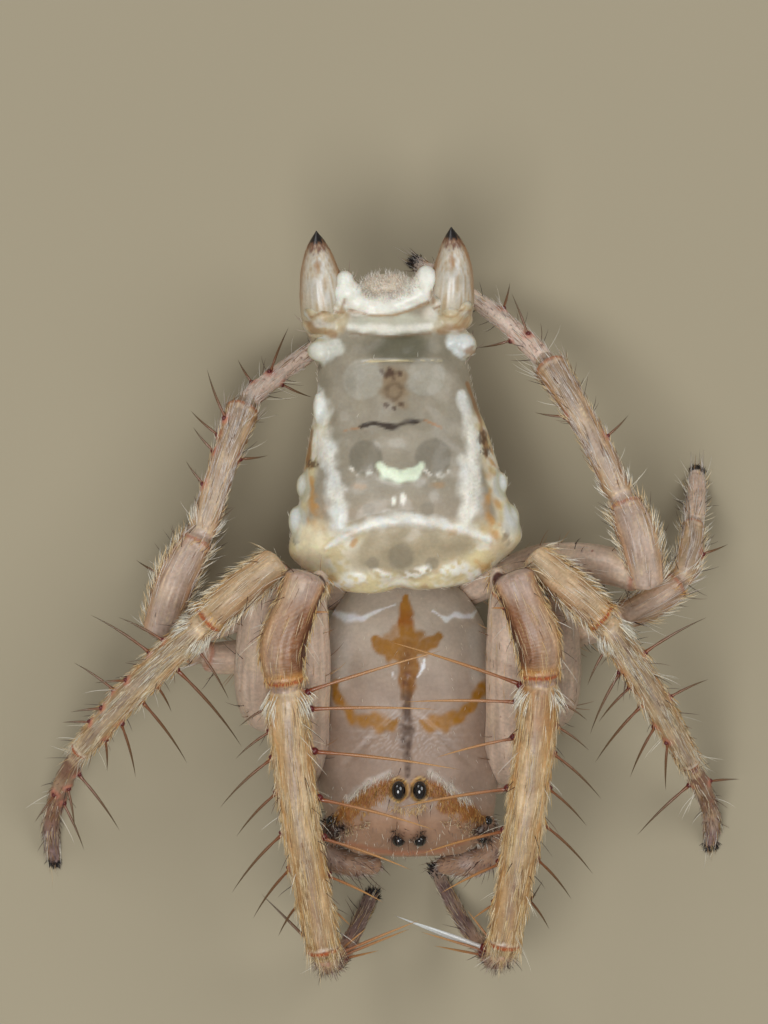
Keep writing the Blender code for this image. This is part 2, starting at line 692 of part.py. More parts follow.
def build_spinnerets(collection, material):
    item = SPINNERET_BASE.solid("spinnerets")
    way = SPINNERET_BASE.way(1.0)
    tip = SPINNERET_BASE.place(1.0)
    fingers = []
    for i in range(FINGERS):
        turn = 2 * math.pi * (i + 0.5) / FINGERS
        aside = Vector((math.cos(turn), 0, math.sin(turn)))
        far = tip + aside * FINGER_SPREAD + way * FINGER_LENGTH
        stations = [
            (tip + aside * FINGER_ROOT, FINGER_WIDTH / 2),
            (far, FINGER_WIDTH / 2),
            (far + way * FINGER_TIP, FINGER_WIDTH / 4),
        ]
        fingers.append(tube(f"finger_{i}", stations, 0))
    combine(item, fingers, "UNION")
    keep_largest(item)
    dress(item, material, collection)


def build_thorax(collection, shell_material, jaw_material, palp_material, eye_material):
    item = thorax_form("cephalothorax")
    parts = [WAIST.solid("waist")]
    centre, radii = EYE_TURRET
    parts.append(ball("turret", spot(*mirrored(centre, 1)), radii, **BULB_FACES))
    for name, side in SIDES.items():
        centre, radii = EYE_TUBERCLE
        parts.append(ball("tubercle_" + name, spot(*mirrored(centre, side)), radii, **BULB_FACES))
    combine(item, parts, "UNION")

    cutters = [abdomen_form("abdomen_gap", ABDOMEN_GAP)]
    for leg in LEG_RUNS:
        for segment in ("coxa", "femur"):
            cutters.append(leg_segment(leg, segment).solid(f"{leg}_{segment}_gap", GAP))
    for name, side in SIDES.items():
        cutters.append(jaw(side).solid("jaw_gap_" + name, GAP))
        cutters.append(palp(side).solid("palp_gap_" + name, GAP))
        for eye, (place, radius) in EYES.items():
            centre = spot(*mirrored(place, side))
            cutters.append(ball(f"{eye}_gap_{name}", centre, (radius,) * 3, EYE_GAP))
    combine(item, cutters, "DIFFERENCE")
    keep_largest(item)
    dress(item, shell_material, collection)

    for name, side in SIDES.items():
        chelicera = jaw(side).solid("chelicera_" + name)
        combine(chelicera, [fang(side).solid("fang_" + name)], "UNION")
        dress(chelicera, jaw_material, collection)
        dress(palp(side).solid("palp_" + name), palp_material, collection)
        for eye, (place, radius) in EYES.items():
            centre = spot(*mirrored(place, side))
            dress(ball(f"{eye}_{name}", centre, (radius,) * 3), eye_material, collection)


def main():
    clear_scene()
    collection = bpy.data.collections.new("arkys_furcatus")
    bpy.context.scene.collection.children.link(collection)
    leg_material = finish("leg skin", (0.62, 0.46, 0.32), 0.42)
    abdomen_material = finish("abdomen skin", (0.55, 0.45, 0.36), 0.45)
    horn_material = finish("horn", (0.66, 0.48, 0.28), 0.4)
    shell_material = finish("carapace", (0.50, 0.38, 0.30), 0.3)
    jaw_material = finish("jaw", (0.36, 0.20, 0.12), 0.35)
    palp_material = finish("palp", (0.50, 0.38, 0.33), 0.6)
    eye_material = finish("eye", (0.01, 0.01, 0.01), 0.05)
    build_legs(collection, leg_material)
    build_abdomen(collection, abdomen_material, horn_material)
    build_thorax(collection, shell_material, jaw_material, palp_material, eye_material)


main()
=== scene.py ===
"""Looks of a still, life-size ambush spider with a forked abdomen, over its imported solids.

Pieces are modelled in millimetres about the floor under the middle of the spider, with the same
runs and sizes as the solids, and brought to metres when they are done. The head points along -Y.
"""
import math

import bpy
import numpy as np
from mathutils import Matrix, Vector


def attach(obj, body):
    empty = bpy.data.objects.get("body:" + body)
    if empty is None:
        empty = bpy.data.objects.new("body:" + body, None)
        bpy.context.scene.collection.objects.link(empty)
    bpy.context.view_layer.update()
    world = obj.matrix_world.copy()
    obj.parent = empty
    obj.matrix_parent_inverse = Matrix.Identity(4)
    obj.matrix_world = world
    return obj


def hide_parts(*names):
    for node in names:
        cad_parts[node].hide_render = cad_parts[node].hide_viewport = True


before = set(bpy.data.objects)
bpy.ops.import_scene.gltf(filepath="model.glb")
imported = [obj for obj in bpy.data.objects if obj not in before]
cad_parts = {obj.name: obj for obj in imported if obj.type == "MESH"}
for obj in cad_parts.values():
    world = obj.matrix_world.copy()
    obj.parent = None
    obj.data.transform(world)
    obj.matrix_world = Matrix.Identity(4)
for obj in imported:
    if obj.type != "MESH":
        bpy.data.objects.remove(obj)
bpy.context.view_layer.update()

MM = 0.001

# The middle of the whole, seen from the waist, in millimetres
MIDDLE = np.array((-0.25, -0.06, 0.0))
HEAD_MIDDLE = 0.06

# Marks are placed in seventieths of a millimetre, as the camera's frame counts them from its top left
PER_MM = 70.0
FRAME_LEFT = 387.5
FRAME_TOP = 604.2
FRAME_SIZE = (768, 1024)
VIEW_LEVEL = 2.6
LENS = 400.0
SENSOR = 36.0

# Runs of the legs' segments about the waist, as in the solids
SEGMENTS = ("coxa", "femur", "patella", "tibia", "foot")
LEG_RUNS = {
    "leg1_right": {
        "coxa": ((-1.00, -2.35, 1.15), (-1.20, -2.48, 1.19), (-1.37, -2.53, 1.30)),
        "femur": (
            (-1.41, -2.47, 1.42), (-1.46, -2.22, 1.86), (-1.48, -1.55, 2.36),
            (-1.46, -0.80, 2.80), (-1.43, -0.12, 3.14), (-1.39, 0.18, 3.46),
        ),
        "patella": ((-1.41, 0.30, 3.86), (-1.56, -0.12, 3.86), (-1.73, -0.62, 3.80), (-1.71, -1.13, 3.66)),
        "tibia": ((-1.69, -1.26, 3.62), (-1.50, -3.10, 3.16), (-1.16, -5.00, 2.62)),
        "foot": (
            (-1.14, -5.10, 2.52), (-1.06, -5.20, 1.75), (-0.88, -5.08, 0.98),
            (-0.68, -4.72, 0.50), (-0.47, -4.29, -0.06),
        ),
    },
    "leg1_left": {
        "coxa": ((1.06, -2.35, 1.15), (1.25, -2.49, 1.19), (1.41, -2.54, 1.30)),
        "femur": (
            (1.45, -2.49, 1.42), (1.51, -2.24, 1.86), (1.56, -1.55, 2.36),
            (1.55, -0.80, 2.80), (1.51, -0.12, 3.14), (1.49, 0.17, 3.46),
        ),
        "patella": ((1.54, 0.30, 3.86), (1.69, -0.06, 3.86), (1.87, -0.54, 3.80), (1.92, -1.05, 3.66)),
        "tibia": ((1.93, -1.17, 3.62), (1.72, -3.05, 3.16), (1.41, -4.92, 2.62)),
        "foot": (
            (1.39, -5.02, 2.52), (1.30, -5.14, 1.75), (1.12, -5.02, 0.98),
            (0.84, -4.66, 0.50), (0.44, -3.93, -0.06),
        ),
    },
    "leg2_right": {
        "coxa": ((-1.10, -1.38, 1.12), (-1.38, -1.54, 1.13), (-1.64, -1.65, 1.20)),
        "femur": (
            (-1.73, -1.66, 1.28), (-2.04, -1.58, 1.64), (-2.12, -1.14, 2.08),
            (-2.08, -0.50, 2.44), (-1.99, 0.08, 2.74), (-1.89, 0.38, 3.06),
        ),
        "patella": ((-1.86, 0.52, 3.42), (-2.34, 0.14, 3.56), (-2.80, -0.26, 3.44)),
        "tibia": ((-2.88, -0.34, 3.40), (-3.84, -1.24, 2.52), (-4.66, -2.16, 1.46)),
        "foot": (
            (-4.72, -2.26, 1.36), (-4.96, -2.70, 0.84), (-5.10, -3.14, 0.42),
            (-5.12, -3.48, 0.18), (-5.09, -3.80, -0.04),
        ),
    },
    "leg2_left": {
        "coxa": ((1.14, -1.38, 1.12), (1.42, -1.54, 1.13), (1.68, -1.65, 1.20)),
        "femur": (
            (1.78, -1.66, 1.28), (2.12, -1.57, 1.62), (2.20, -1.14, 2.04),
            (2.17, -0.50, 2.42), (2.07, 0.08, 2.74), (1.92, 0.42, 3.06),
        ),
        "patella": ((1.86, 0.58, 3.42), (2.34, 0.18, 3.56), (2.80, -0.24, 3.44)),
        "tibia": ((2.88, -0.34, 3.40), (3.54, -1.36, 2.52), (4.10, -2.34, 1.46)),
        "foot": (
            (4.15, -2.44, 1.36), (4.32, -2.78, 0.84), (4.42, -3.06, 0.42),
            (4.45, -3.30, 0.18), (4.44, -3.56, -0.04),
        ),
    },
    "leg3_right": {
        "coxa": ((-1.10, -0.66, 1.05), (-1.40, -0.70, 1.07), (-1.66, -0.74, 1.13)),
        "femur": ((-1.76, -0.75, 1.17), (-2.20, -0.81, 1.36), (-2.64, -0.84, 1.54), (-2.82, -0.82, 1.60)),
        "patella": ((-2.95, -0.80, 1.58), (-3.18, -0.50, 1.48), (-3.34, -0.15, 1.32)),
        "tibia": ((-3.37, -0.06, 1.27), (-3.36, 0.27, 1.00), (-3.26, 0.56, 0.72)),
        "foot": ((-3.23, 0.64, 0.64), (-3.10, 0.88, 0.34), (-2.94, 1.09, 0.14), (-2.79, 1.28, -0.04)),
    },
    "leg3_left": {
        "coxa": ((1.12, -0.62, 1.05), (1.42, -0.64, 1.12), (1.68, -0.64, 1.22)),
        "femur": ((1.78, -0.63, 1.28), (2.30, -0.50, 1.56), (2.84, -0.34, 1.78), (3.04, -0.28, 1.80)),
        "patella": ((3.18, -0.22, 1.80), (3.58, -0.02, 1.78), (3.90, 0.20, 1.68)),
        "tibia": ((3.98, 0.28, 1.64), (4.10, 0.66, 1.34), (4.16, 1.06, 0.98)),
        "foot": ((4.18, 1.14, 0.88), (4.21, 1.36, 0.52), (4.23, 1.60, 0.20), (4.24, 1.82, -0.04)),
    },
    "leg4_right": {
        "coxa": ((-0.76, 0.02, 1.15), (-1.06, 0.08, 1.22), (-1.34, 0.10, 1.36)),
        "femur": ((-1.44, 0.09, 1.42), (-2.06, -0.06, 1.78), (-2.90, -0.34, 2.12), (-3.36, -0.46, 2.18)),
        "patella": ((-3.51, -0.43, 2.20), (-3.30, 0.22, 2.42), (-2.98, 0.84, 2.36)),
        "tibia": ((-2.91, 0.94, 2.32), (-2.64, 1.84, 1.98), (-2.34, 2.72, 1.46)),
        "foot": (
            (-2.29, 2.82, 1.38), (-1.88, 3.20, 0.98), (-1.38, 3.56, 0.60),
            (-0.90, 3.88, 0.26), (-0.42, 4.22, -0.05),
        ),
    },
    "leg4_left": {
        "coxa": ((0.78, 0.06, 1.15), (1.06, 0.20, 1.24), (1.34, 0.33, 1.39)),
        "femur": ((1.44, 0.37, 1.45), (2.06, 0.54, 1.86), (2.86, 0.50, 2.32), (3.30, 0.34, 2.46)),
        "patella": ((3.46, 0.26, 2.50), (3.34, 0.86, 2.66), (3.14, 1.36, 2.52)),
        "tibia": ((3.10, 1.46, 2.48), (2.64, 2.42, 2.08), (2.10, 3.34, 1.44)),
        "foot": (
            (2.03, 3.43, 1.36), (1.56, 3.90, 0.96), (1.06, 4.30, 0.58),
            (0.62, 4.60, 0.26), (0.16, 4.88, -0.05),
        ),
    },
}

# Widths of the skins along each segment, in millimetres
SKIN_WIDTHS = {
    "leg1": {
        "coxa": (0.50, 0.54, 0.52), "femur": (0.50, 0.74, 0.82, 0.80, 0.66, 0.50),
        "patella": (0.62, 0.60, 0.66, 0.67, 0.54), "tibia": (0.57, 0.54, 0.47),
        "foot": (0.40, 0.34, 0.27, 0.22, 0.19),
    },
    "leg2": {
        "coxa": (0.48, 0.50, 0.48), "femur": (0.46, 0.60, 0.66, 0.64, 0.60, 0.52),
        "patella": (0.47, 0.52, 0.47), "tibia": (0.44, 0.41, 0.33), "foot": (0.29, 0.26, 0.25, 0.24, 0.19),
    },
    "leg3": {
        "coxa": (0.44, 0.46, 0.44), "femur": (0.42, 0.50, 0.48, 0.42),
        "patella": (0.42, 0.46, 0.40), "tibia": (0.38, 0.38, 0.32), "foot": (0.30, 0.29, 0.27, 0.20),
    },
    "leg4": {
        "coxa": (0.46, 0.48, 0.46), "femur": (0.46, 0.56, 0.56, 0.46),
        "patella": (0.50, 0.57, 0.57, 0.45), "tibia": (0.42, 0.38, 0.47),
        "foot": (0.33, 0.28, 0.26, 0.24, 0.19),
    },
}

# Voxel sizes of the fused skins, and how closely runs are sampled
LEG_VOXEL = 0.028
BODY_VOXEL = 0.030
FINE_VOXEL = 0.020
SAMPLE_STEP = 0.04

# Joints: how far and how long a segment narrows at its root and swells at its end
NECK_DEPTH = 0.20
NECK_RUN = 0.09
LIP_HEIGHT = 0.07
LIP_RUN = 0.04
ANKLE_SHARE = 0.50
ANKLE_DEPTH = 0.13


# Abdomen: distance behind its front edge, half width, top, rim and belly heights.
ABDOMEN_FRONT_X = 0.05
ABDOMEN_FRONT_Y = 0.22
ABDOMEN_YAW = math.radians(4.2)
ABDOMEN_STATIONS = (
    (0.00, 0.94, 2.98, 2.72, 2.44),
    (0.16, 1.22, 3.12, 2.72, 2.20),
    (0.42, 1.56, 3.26, 2.72, 1.84),
    (0.66, 1.67, 3.36, 2.70, 1.56),
    (1.20, 1.49, 3.46, 2.68, 1.22),
    (1.95, 1.32, 3.48, 2.66, 1.06),
    (2.75, 1.12, 3.34, 2.64, 1.14),
    (3.45, 1.05, 3.18, 2.62, 1.48),
    (3.90, 0.98, 3.08, 2.62, 1.92),
    (4.16, 0.74, 2.94, 2.62, 2.24),
)

# Cephalothorax: place along Y, middle, half width, top, rim and belly heights.
THORAX_STATIONS = (
    (0.34, 0.00, 0.46, 1.78, 1.44, 1.10),
    (0.10, 0.00, 0.84, 1.96, 1.42, 0.92),
    (-0.50, 0.00, 1.20, 2.20, 1.42, 0.80),
    (-1.30, 0.01, 1.38, 2.36, 1.44, 0.74),
    (-2.05, 0.03, 1.36, 2.42, 1.48, 0.78),
    (-2.70, 0.05, 1.28, 2.50, 1.58, 0.90),
    (-3.15, 0.06, 1.20, 2.42, 1.70, 1.12),
    (-3.46, 0.06, 1.04, 2.16, 1.72, 1.34),
    (-3.60, 0.06, 0.84, 1.94, 1.70, 1.46),
)

# How full the back's arch is at its sides and crown, and how much the belly's keel narrows
ARCH_SIDE = 0.85
ARCH_CROWN = 0.9
KEEL_SIDE = 1.25
END_SHARE = 0.06
END_REACH = 0.10

# Horns: places in the frame and heights, and widths, from the bulb of the abdomen to the point
HORN_RUNS = {
    "right": ((328, 336, 2.56), (323, 300, 2.80), (319, 265, 2.94), (316.5, 232, 3.06)),
    "left": ((446, 332, 2.56), (451, 296, 2.80), (453, 261, 2.94), (451, 228, 3.06)),
}
HORN_WIDTHS = (0.52, 0.64, 0.68, 0.67, 0.63, 0.58, 0.50, 0.39, 0.24, 0.015)

# The rump's roll, knobs and plate: place in the frame, height and radii across, along and up
RUMP_KNOBS = (
    (345, 281, 3.00, 0.13, 0.14, 0.13), (348, 292, 3.00, 0.20, 0.16, 0.16),
    (359, 304, 2.97, 0.17, 0.14, 0.15),
    (426, 278, 3.00, 0.16, 0.18, 0.14), (419, 290, 2.99, 0.20, 0.17, 0.16),
    (374, 306, 2.96, 0.12, 0.11, 0.13),
    (404, 302, 2.96, 0.12, 0.12, 0.13), (388, 286, 2.88, 0.40, 0.18, 0.16),
    (390, 323, 3.00, 0.54, 0.14, 0.10),
)
RUMP_RUN = ((358, 303, 2.96), (373, 306, 2.96), (389, 305, 2.96), (405, 300, 2.97), (417, 295, 2.98))
RUMP_WIDTHS = (0.27, 0.24, 0.23, 0.25, 0.29)
RUMP_BULBS = (
    (325, 323, 2.74, 0.33, 0.22, 0.31), (450, 319, 2.74, 0.33, 0.22, 0.31),
    (339, 325, 2.84, 0.18, 0.15, 0.18), (437, 321, 2.84, 0.18, 0.15, 0.18),
    (313, 311, 2.88, 0.14, 0.15, 0.19), (324, 317, 2.96, 0.17, 0.13, 0.16),
    (337, 308, 2.90, 0.14, 0.17, 0.18),
    (463, 307, 2.88, 0.14, 0.15, 0.19), (452, 313, 2.96, 0.17, 0.13, 0.16),
    (438, 304, 2.90, 0.14, 0.17, 0.18),
)
SIDE_KNOBS = (
    (322, 351, 2.86, 0.22, 0.17, 0.17), (336, 350, 2.90, 0.16, 0.13, 0.15),
    (464, 345, 2.87, 0.17, 0.19, 0.17),
    (453, 342, 2.90, 0.14, 0.13, 0.15),
    (304, 486, 2.76, 0.11, 0.18, 0.14), (297, 522, 2.76, 0.13, 0.22, 0.16),
    (500, 484, 2.76, 0.12, 0.17, 0.14), (510, 519, 2.76, 0.14, 0.22, 0.16),
    (320, 408, 2.92, 0.10, 0.22, 0.12), (464, 412, 2.92, 0.11, 0.22, 0.12),
    (319, 444, 2.92, 0.12, 0.17, 0.12), (474, 440, 2.92, 0.11, 0.17, 0.12),
)

# Spinnerets: a short cone of fingers under the rear
SPINNERET_RUN = ((-0.18, 3.46, 1.50), (-0.20, 3.72, 1.28), (-0.21, 3.86, 1.14))
SPINNERET_WIDTHS = (0.56, 0.50, 0.40)
FINGERS = 6
FINGER_SPREAD = 0.13
FINGER_REACH = 0.30

# Head: places are for the left side, sideways from the middle of the head
JAW_RUN = ((0.30, -3.20, 1.62), (0.30, -3.36, 1.36), (0.30, -3.38, 1.00), (0.30, -3.30, 0.70))
JAW_WIDTHS = (0.46, 0.48, 0.42, 0.28)
FANG_RUN = ((0.34, -3.28, 0.72), (0.30, -3.24, 0.54), (0.20, -3.16, 0.46), (0.10, -3.06, 0.46))
FANG_WIDTHS = (0.17, 0.12, 0.08, 0.02)
PALP_RUN = (
    (0.72, -2.86, 1.06), (1.00, -3.14, 1.10), (1.16, -3.48, 1.22),
    (1.08, -3.72, 1.34), (0.82, -3.80, 1.36), (0.54, -3.82, 1.30),
)
PALP_WIDTHS = (0.30, 0.33, 0.36, 0.38, 0.37, 0.30)
EYES = {
    "eye_rear_median": ((0.152, -2.72, 2.60), 0.104),
    "eye_front_median": ((0.150, -3.44, 2.20), 0.098),
    "eye_front_lateral": ((1.06, -3.42, 1.99), 0.095),
    "eye_rear_lateral": ((1.12, -3.17, 2.035), 0.095),
}
EYE_TURRET = ((0.0, -3.00, 2.20), (0.33, 0.48, 0.34))
EYE_TUBERCLE = ((1.05, -3.27, 1.93), (0.20, 0.26, 0.18))
WAIST_RUN = ((0.0, 0.10, 1.42), (-0.02, 0.50, 1.52), (-0.04, 1.10, 1.80))
WAIST_WIDTHS = (0.50, 0.40, 0.38)
SIDES = {"right": -1, "left": 1}

# Spines: the share of a segment's length where each stands, its compass heading, dip and length
SPINES = {
    "leg1_right_patella": ((0.300, 0, -15, 0.20),),
    "leg1_left_patella": ((0.300, 180, -15, 0.20),),
    "leg1_right_tibia": (
        (0.020, 17, -3, 2.03), (0.080, 0, -4, 1.85), (0.250, -7, 1, 2.15), (0.430, -15, 8, 1.80),
        (0.590, -20, 16, 1.45), (0.730, -26, 24, 1.00), (0.860, -42, 30, 0.45),
        (0.060, 213, 10, 0.50), (0.150, 218, 10, 0.65), (0.260, 223, 12, 1.08), (0.390, 227, 15, 0.90),
        (0.550, 229, 15, 1.18), (0.680, 233, 20, 0.96), (0.810, 238, 25, 0.62),
    ),
    "leg1_right_foot": (
        (0.080, 22, 14, 1.30), (0.190, 21, 22, 1.17), (0.300, 12, 30, 0.60), (0.080, 135, -6, 1.15),
        (0.150, 40, 10, 0.55),
    ),
    "leg1_left_tibia": (
        (0.020, 162, 9, 2.03), (0.080, 180, 9, 1.66), (0.215, 194, 12, 1.20), (0.410, 190, 15, 1.70),
        (0.580, 196, 25, 1.42), (0.700, 207, 25, 1.08), (0.860, 215, 30, 0.50),
        (0.060, -33, 10, 0.50), (0.150, -36, 10, 0.60), (0.260, -43, 12, 0.98), (0.390, -44, 15, 0.80),
        (0.530, -45, 15, 1.06), (0.660, -49, 20, 0.83), (0.810, -55, 25, 0.60),
    ),
    "leg1_left_foot": (
        (0.070, 160, 0, 1.15), (0.180, 159, 16, 1.49), (0.120, 164, 10, 1.00), (0.260, 170, 24, 0.80),
        (0.090, 60, -6, 1.05), (0.060, 128, 4, 0.60),
    ),
    "leg2_right_tibia": (
        (0.110, -58, 10, 0.86), (0.283, -50, 14, 1.51), (0.415, -61, 20, 0.45), (0.540, -54, 16, 1.15),
        (0.710, -75, 18, 0.86), (0.840, -87, 20, 0.50),
        (0.204, 152, -8, 0.73), (0.310, 147, -8, 1.02), (0.479, 184, -4, 0.45), (0.595, 145, -6, 0.70),
        (0.690, 186, 0, 0.45), (0.810, 180, 0, 0.40),
    ),
    "leg2_right_foot": (
        (0.100, -54, 10, 1.04), (0.200, -80, 10, 0.60), (0.340, -66, 8, 0.76), (0.280, 234, 0, 0.49),
    ),
    "leg2_left_tibia": (
        (0.100, 243, 12, 0.60), (0.267, 244, 14, 1.03), (0.390, 228, 16, 0.71), (0.515, 231, 18, 1.13),
        (0.660, 244, 18, 0.87), (0.780, 268, 18, 0.74), (0.257, 30, -8, 1.04), (0.560, 25, -4, 0.61),
    ),
    "leg2_left_foot": ((0.120, 224, 12, 1.08), (0.150, 4, 5, 0.45)),
    "leg3_right_tibia": ((0.550, 150, 5, 0.40),),
    "leg3_left_tibia": ((0.500, 20, 0, 0.40),),
    "leg4_right_tibia": (
        (0.344, 128, -5, 0.42), (0.600, 131, -5, 0.46), (0.740, 139, 0, 0.53), (0.860, 111, 0, 0.76),
        (0.620, 6, 5, 0.42),
    ),
    "leg4_right_foot": ((0.220, 68, 0, 0.71), (0.120, 122, 0, 0.40), (0.250, -24, 8, 0.49)),
    "leg4_left_tibia": ((0.415, 44, -5, 0.44), (0.650, 173, 5, 0.45)),
    "leg4_left_foot": ((0.150, 111, -5, 0.63), (0.350, 75, 0, 0.40), (0.210, 193, 10, 0.50)),
}

# Drawing tools
def waist(places):
    """Places about the middle of the whole, from places about the waist."""
    return np.asarray(places, float) - MIDDLE


def seen(px, py, height):
    """The place at a height that the camera sees at a mark of its frame."""
    return np.array(((px - FRAME_LEFT) / PER_MM, (FRAME_TOP - py) / PER_MM, height))


def marks(places):
    """Where the camera's frame shows places, in marks across and down."""
    return places[:, 0] * PER_MM + FRAME_LEFT, FRAME_TOP - places[:, 1] * PER_MM


def along(knots, shares):
    """Places or sizes on the smooth curve through evenly spaced knots, at shares of its run."""
    knots = np.asarray(knots, float)
    single = knots.ndim == 1
    if single:
        knots = knots[:, None]
    run = np.clip(shares, 0, 1) * (len(knots) - 1)
    i = np.minimum(run.astype(int), len(knots) - 2)
    t = (run - i)[:, None]
    padded = np.vstack([knots[:1] * 2 - knots[1:2], knots, knots[-1:] * 2 - knots[-2:-1]])
    before, here, ahead, beyond = (padded[i + j] for j in range(4))
    bend = before * 2 - here * 5 + ahead * 4 - beyond
    twist = here * 3 - before - ahead * 3 + beyond
    places = (here * 2 + (ahead - before) * t + bend * t**2 + twist * t**3) * 0.5
    return places[:, 0] if single else places


def unit(vectors):
    return vectors / np.maximum(np.linalg.norm(vectors, axis=-1, keepdims=True), 1e-12)


def rise(values, low, high):
    """0 below low, 1 above high, smooth between."""
    t = np.clip((values - low) / (high - low), 0, 1)
    return t * t * (3 - 2 * t)


def bell(values, centre, width):
    """1 at the centre, falling off smoothly over the width."""
    return np.exp(-(((values - centre) / width) ** 2))


def ripple(places, size, seed, waves=28):
    """A smooth random field, mostly within -1 to 1, with features of a size in millimetres."""
    chance = np.random.default_rng(seed)
    ways = unit(chance.normal(size=(waves, 3))) * chance.uniform(0.6, 1.5, (waves, 1)) / (size * 2)
    starts = chance.uniform(0, 2 * math.pi, waves)
    return np.sin(places @ ways.T * 2 * math.pi + starts).sum(axis=1) / math.sqrt(waves)


def deselect():
    if bpy.context.object and bpy.context.object.mode != "OBJECT":
        bpy.ops.object.mode_set(mode="OBJECT")
    bpy.ops.object.select_all(action="DESELECT")


def choose(*items):
    deselect()
    for item in items:
        item.select_set(True)
    bpy.context.view_layer.objects.active = items[0]


def apply_all(item):
    choose(item)
    for modifier in list(item.modifiers):
        bpy.ops.object.modifier_apply(modifier=modifier.name)


def mend(item):
    """Welds doubles and turns every face outwards."""
    choose(item)
    bpy.ops.object.mode_set(mode="EDIT")
    bpy.ops.mesh.select_all(action="SELECT")
    bpy.ops.mesh.remove_doubles(threshold=1e-5)
    bpy.ops.mesh.normals_make_consistent(inside=False)
    bpy.ops.object.mode_set(mode="OBJECT")


def places_of(item):
    places = np.empty(len(item.data.vertices) * 3, np.float32)
    item.data.vertices.foreach_get("co", places)
    return places.reshape(-1, 3).astype(float)


def normals_of(item):
    normals = np.empty(len(item.data.vertices) * 3, np.float32)
    item.data.vertices.foreach_get("normal", normals)
    return normals.reshape(-1, 3).astype(float)


def put(item, places):
    item.data.vertices.foreach_set("co", places.astype(np.float32).ravel())
    item.data.update()


def draw_tube(name, places, radii, roundness=6, dome=1.0):
    """A closed round tube through places, with a round or flatter dome at each end."""
    places, radii = rounded(np.asarray(places, float), np.asarray(radii, float), dome)
    deselect()
    bpy.ops.curve.primitive_nurbs_path_add()
    item = bpy.context.object
    item.name = name
    curve = item.data
    curve.splines.clear()
    curve.bevel_depth = 1.0
    curve.bevel_resolution = roundness
    curve.use_fill_caps = True
    spline = curve.splines.new("POLY")
    spline.points.add(len(places) - 1)
    for point, place, radius in zip(spline.points, places, radii):
        point.co = (*place, 1.0)
        point.radius = radius
    bpy.ops.object.convert(target="MESH")
    mend(item)
    return item


def rounded(places, radii, dome, steps=5):
    """Adds the rings of a dome at each end of a run."""
    turns = np.radians(np.linspace(12, 74, steps))
    first = unit(places[0] - places[1]) * dome
    last = unit(places[-1] - places[-2]) * dome
    near = places[0] + first * (radii[0] * np.cos(turns))[:, None]
    far = places[-1] + last * (radii[-1] * np.cos(turns))[:, None]
    places = np.concatenate([near, places, far[::-1]])
    radii = np.concatenate([radii[0] * np.sin(turns), radii, radii[-1] * np.sin(turns[::-1])])
    return places, radii


def draw_run(name, knots, widths, count=24, roundness=6):
    """A tube on the smooth run through a few knots, with widths spread along it."""
    shares = np.linspace(0, 1, count)
    return draw_tube(name, along(knots, shares), along(widths, shares) / 2, roundness)


def draw_ball(name, centre, radii, segments=24, rings=16):
    deselect()
    bpy.ops.mesh.primitive_uv_sphere_add(segments=segments, ring_count=rings, radius=1.0, location=centre)
    item = bpy.context.object
    item.name = name
    item.scale = radii
    bpy.ops.object.transform_apply(location=True, rotation=True, scale=True)
    return item


def draw_form(name, place_at, segments=96, rings=128):
    """A closed form: a ball whose points are put where the form has them."""
    item = draw_ball(name, (0, 0, 0), (1, 1, 1), segments, rings)
    ball = places_of(item)
    shares = 1 - np.arccos(np.clip(ball[:, 2], -1, 1)) / math.pi
    turns = np.arctan2(ball[:, 1], ball[:, 0])
    put(item, place_at(shares, turns))
    mend(item)
    return item


def fuse(name, items, voxel, smoothing=3):
    """One closed skin round all the items."""
    choose(*items)
    if len(items) > 1:
        bpy.ops.object.join()
    item = bpy.context.object
    item.name = name
    remesh = item.modifiers.new("Skin", "REMESH")
    remesh.mode = "VOXEL"
    remesh.voxel_size = voxel
    remesh.use_smooth_shade = True
    soften = item.modifiers.new("Soften", "SMOOTH")
    soften.factor = 0.5
    soften.iterations = smoothing
    apply_all(item)
    return item


def note(item, name, values):
    """Keeps a number, or a vector of three, for each point."""
    values = np.asarray(values, np.float32)
    kind, field = ("FLOAT", "value") if values.ndim == 1 else ("FLOAT_VECTOR", "vector")
    attribute = item.data.attributes.new(name, kind, "POINT")
    attribute.data.foreach_set(field, values.ravel())


def finish_piece(item, name, material, slot, *nodes):
    """Brings a piece to metres and gives it its name, material and body, and hides the nodes it replaces; the
    slot is not used.
    """
    choose(item)
    item.scale = (MM, MM, MM)
    bpy.ops.object.transform_apply(location=True, rotation=True, scale=True)
    item.name = name
    item.data.name = name
    item.data.materials.clear()
    item.data.materials.append(material)
    item.data.shade_smooth()
    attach(item, "root")
    if nodes:
        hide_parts(*nodes)
    return item


# Colours
def tone(red, green, blue):
    """A linear colour from the usual 0 to 255 values."""
    value = np.array((red, green, blue)) / 255
    return np.where(value <= 0.04045, value / 12.92, ((value + 0.055) / 1.055) ** 2.4)


def lay(paint, colour, amount):
    """Mixes a colour over the paint by an amount for each point."""
    amount = np.clip(amount, 0, 1)[:, None]
    return paint + (colour - paint) * amount


def blot(places, px, py, wide, tall, turn=0.0, soft=0.3, wobble=0.12, seed=1):
    """1 inside a rough oval of the camera's frame, 0 outside."""
    across, down = marks(places)
    turn = math.radians(turn)
    u = (across - px) * math.cos(turn) + (down - py) * math.sin(turn)
    v = (down - py) * math.cos(turn) - (across - px) * math.sin(turn)
    reach = np.hypot(u / wide, v / tall)
    if wobble:
        reach = reach + wobble * ripple(places, max(wide, tall) / PER_MM * 0.5, seed)
    return 1 - rise(reach, 1 - soft, 1 + soft)


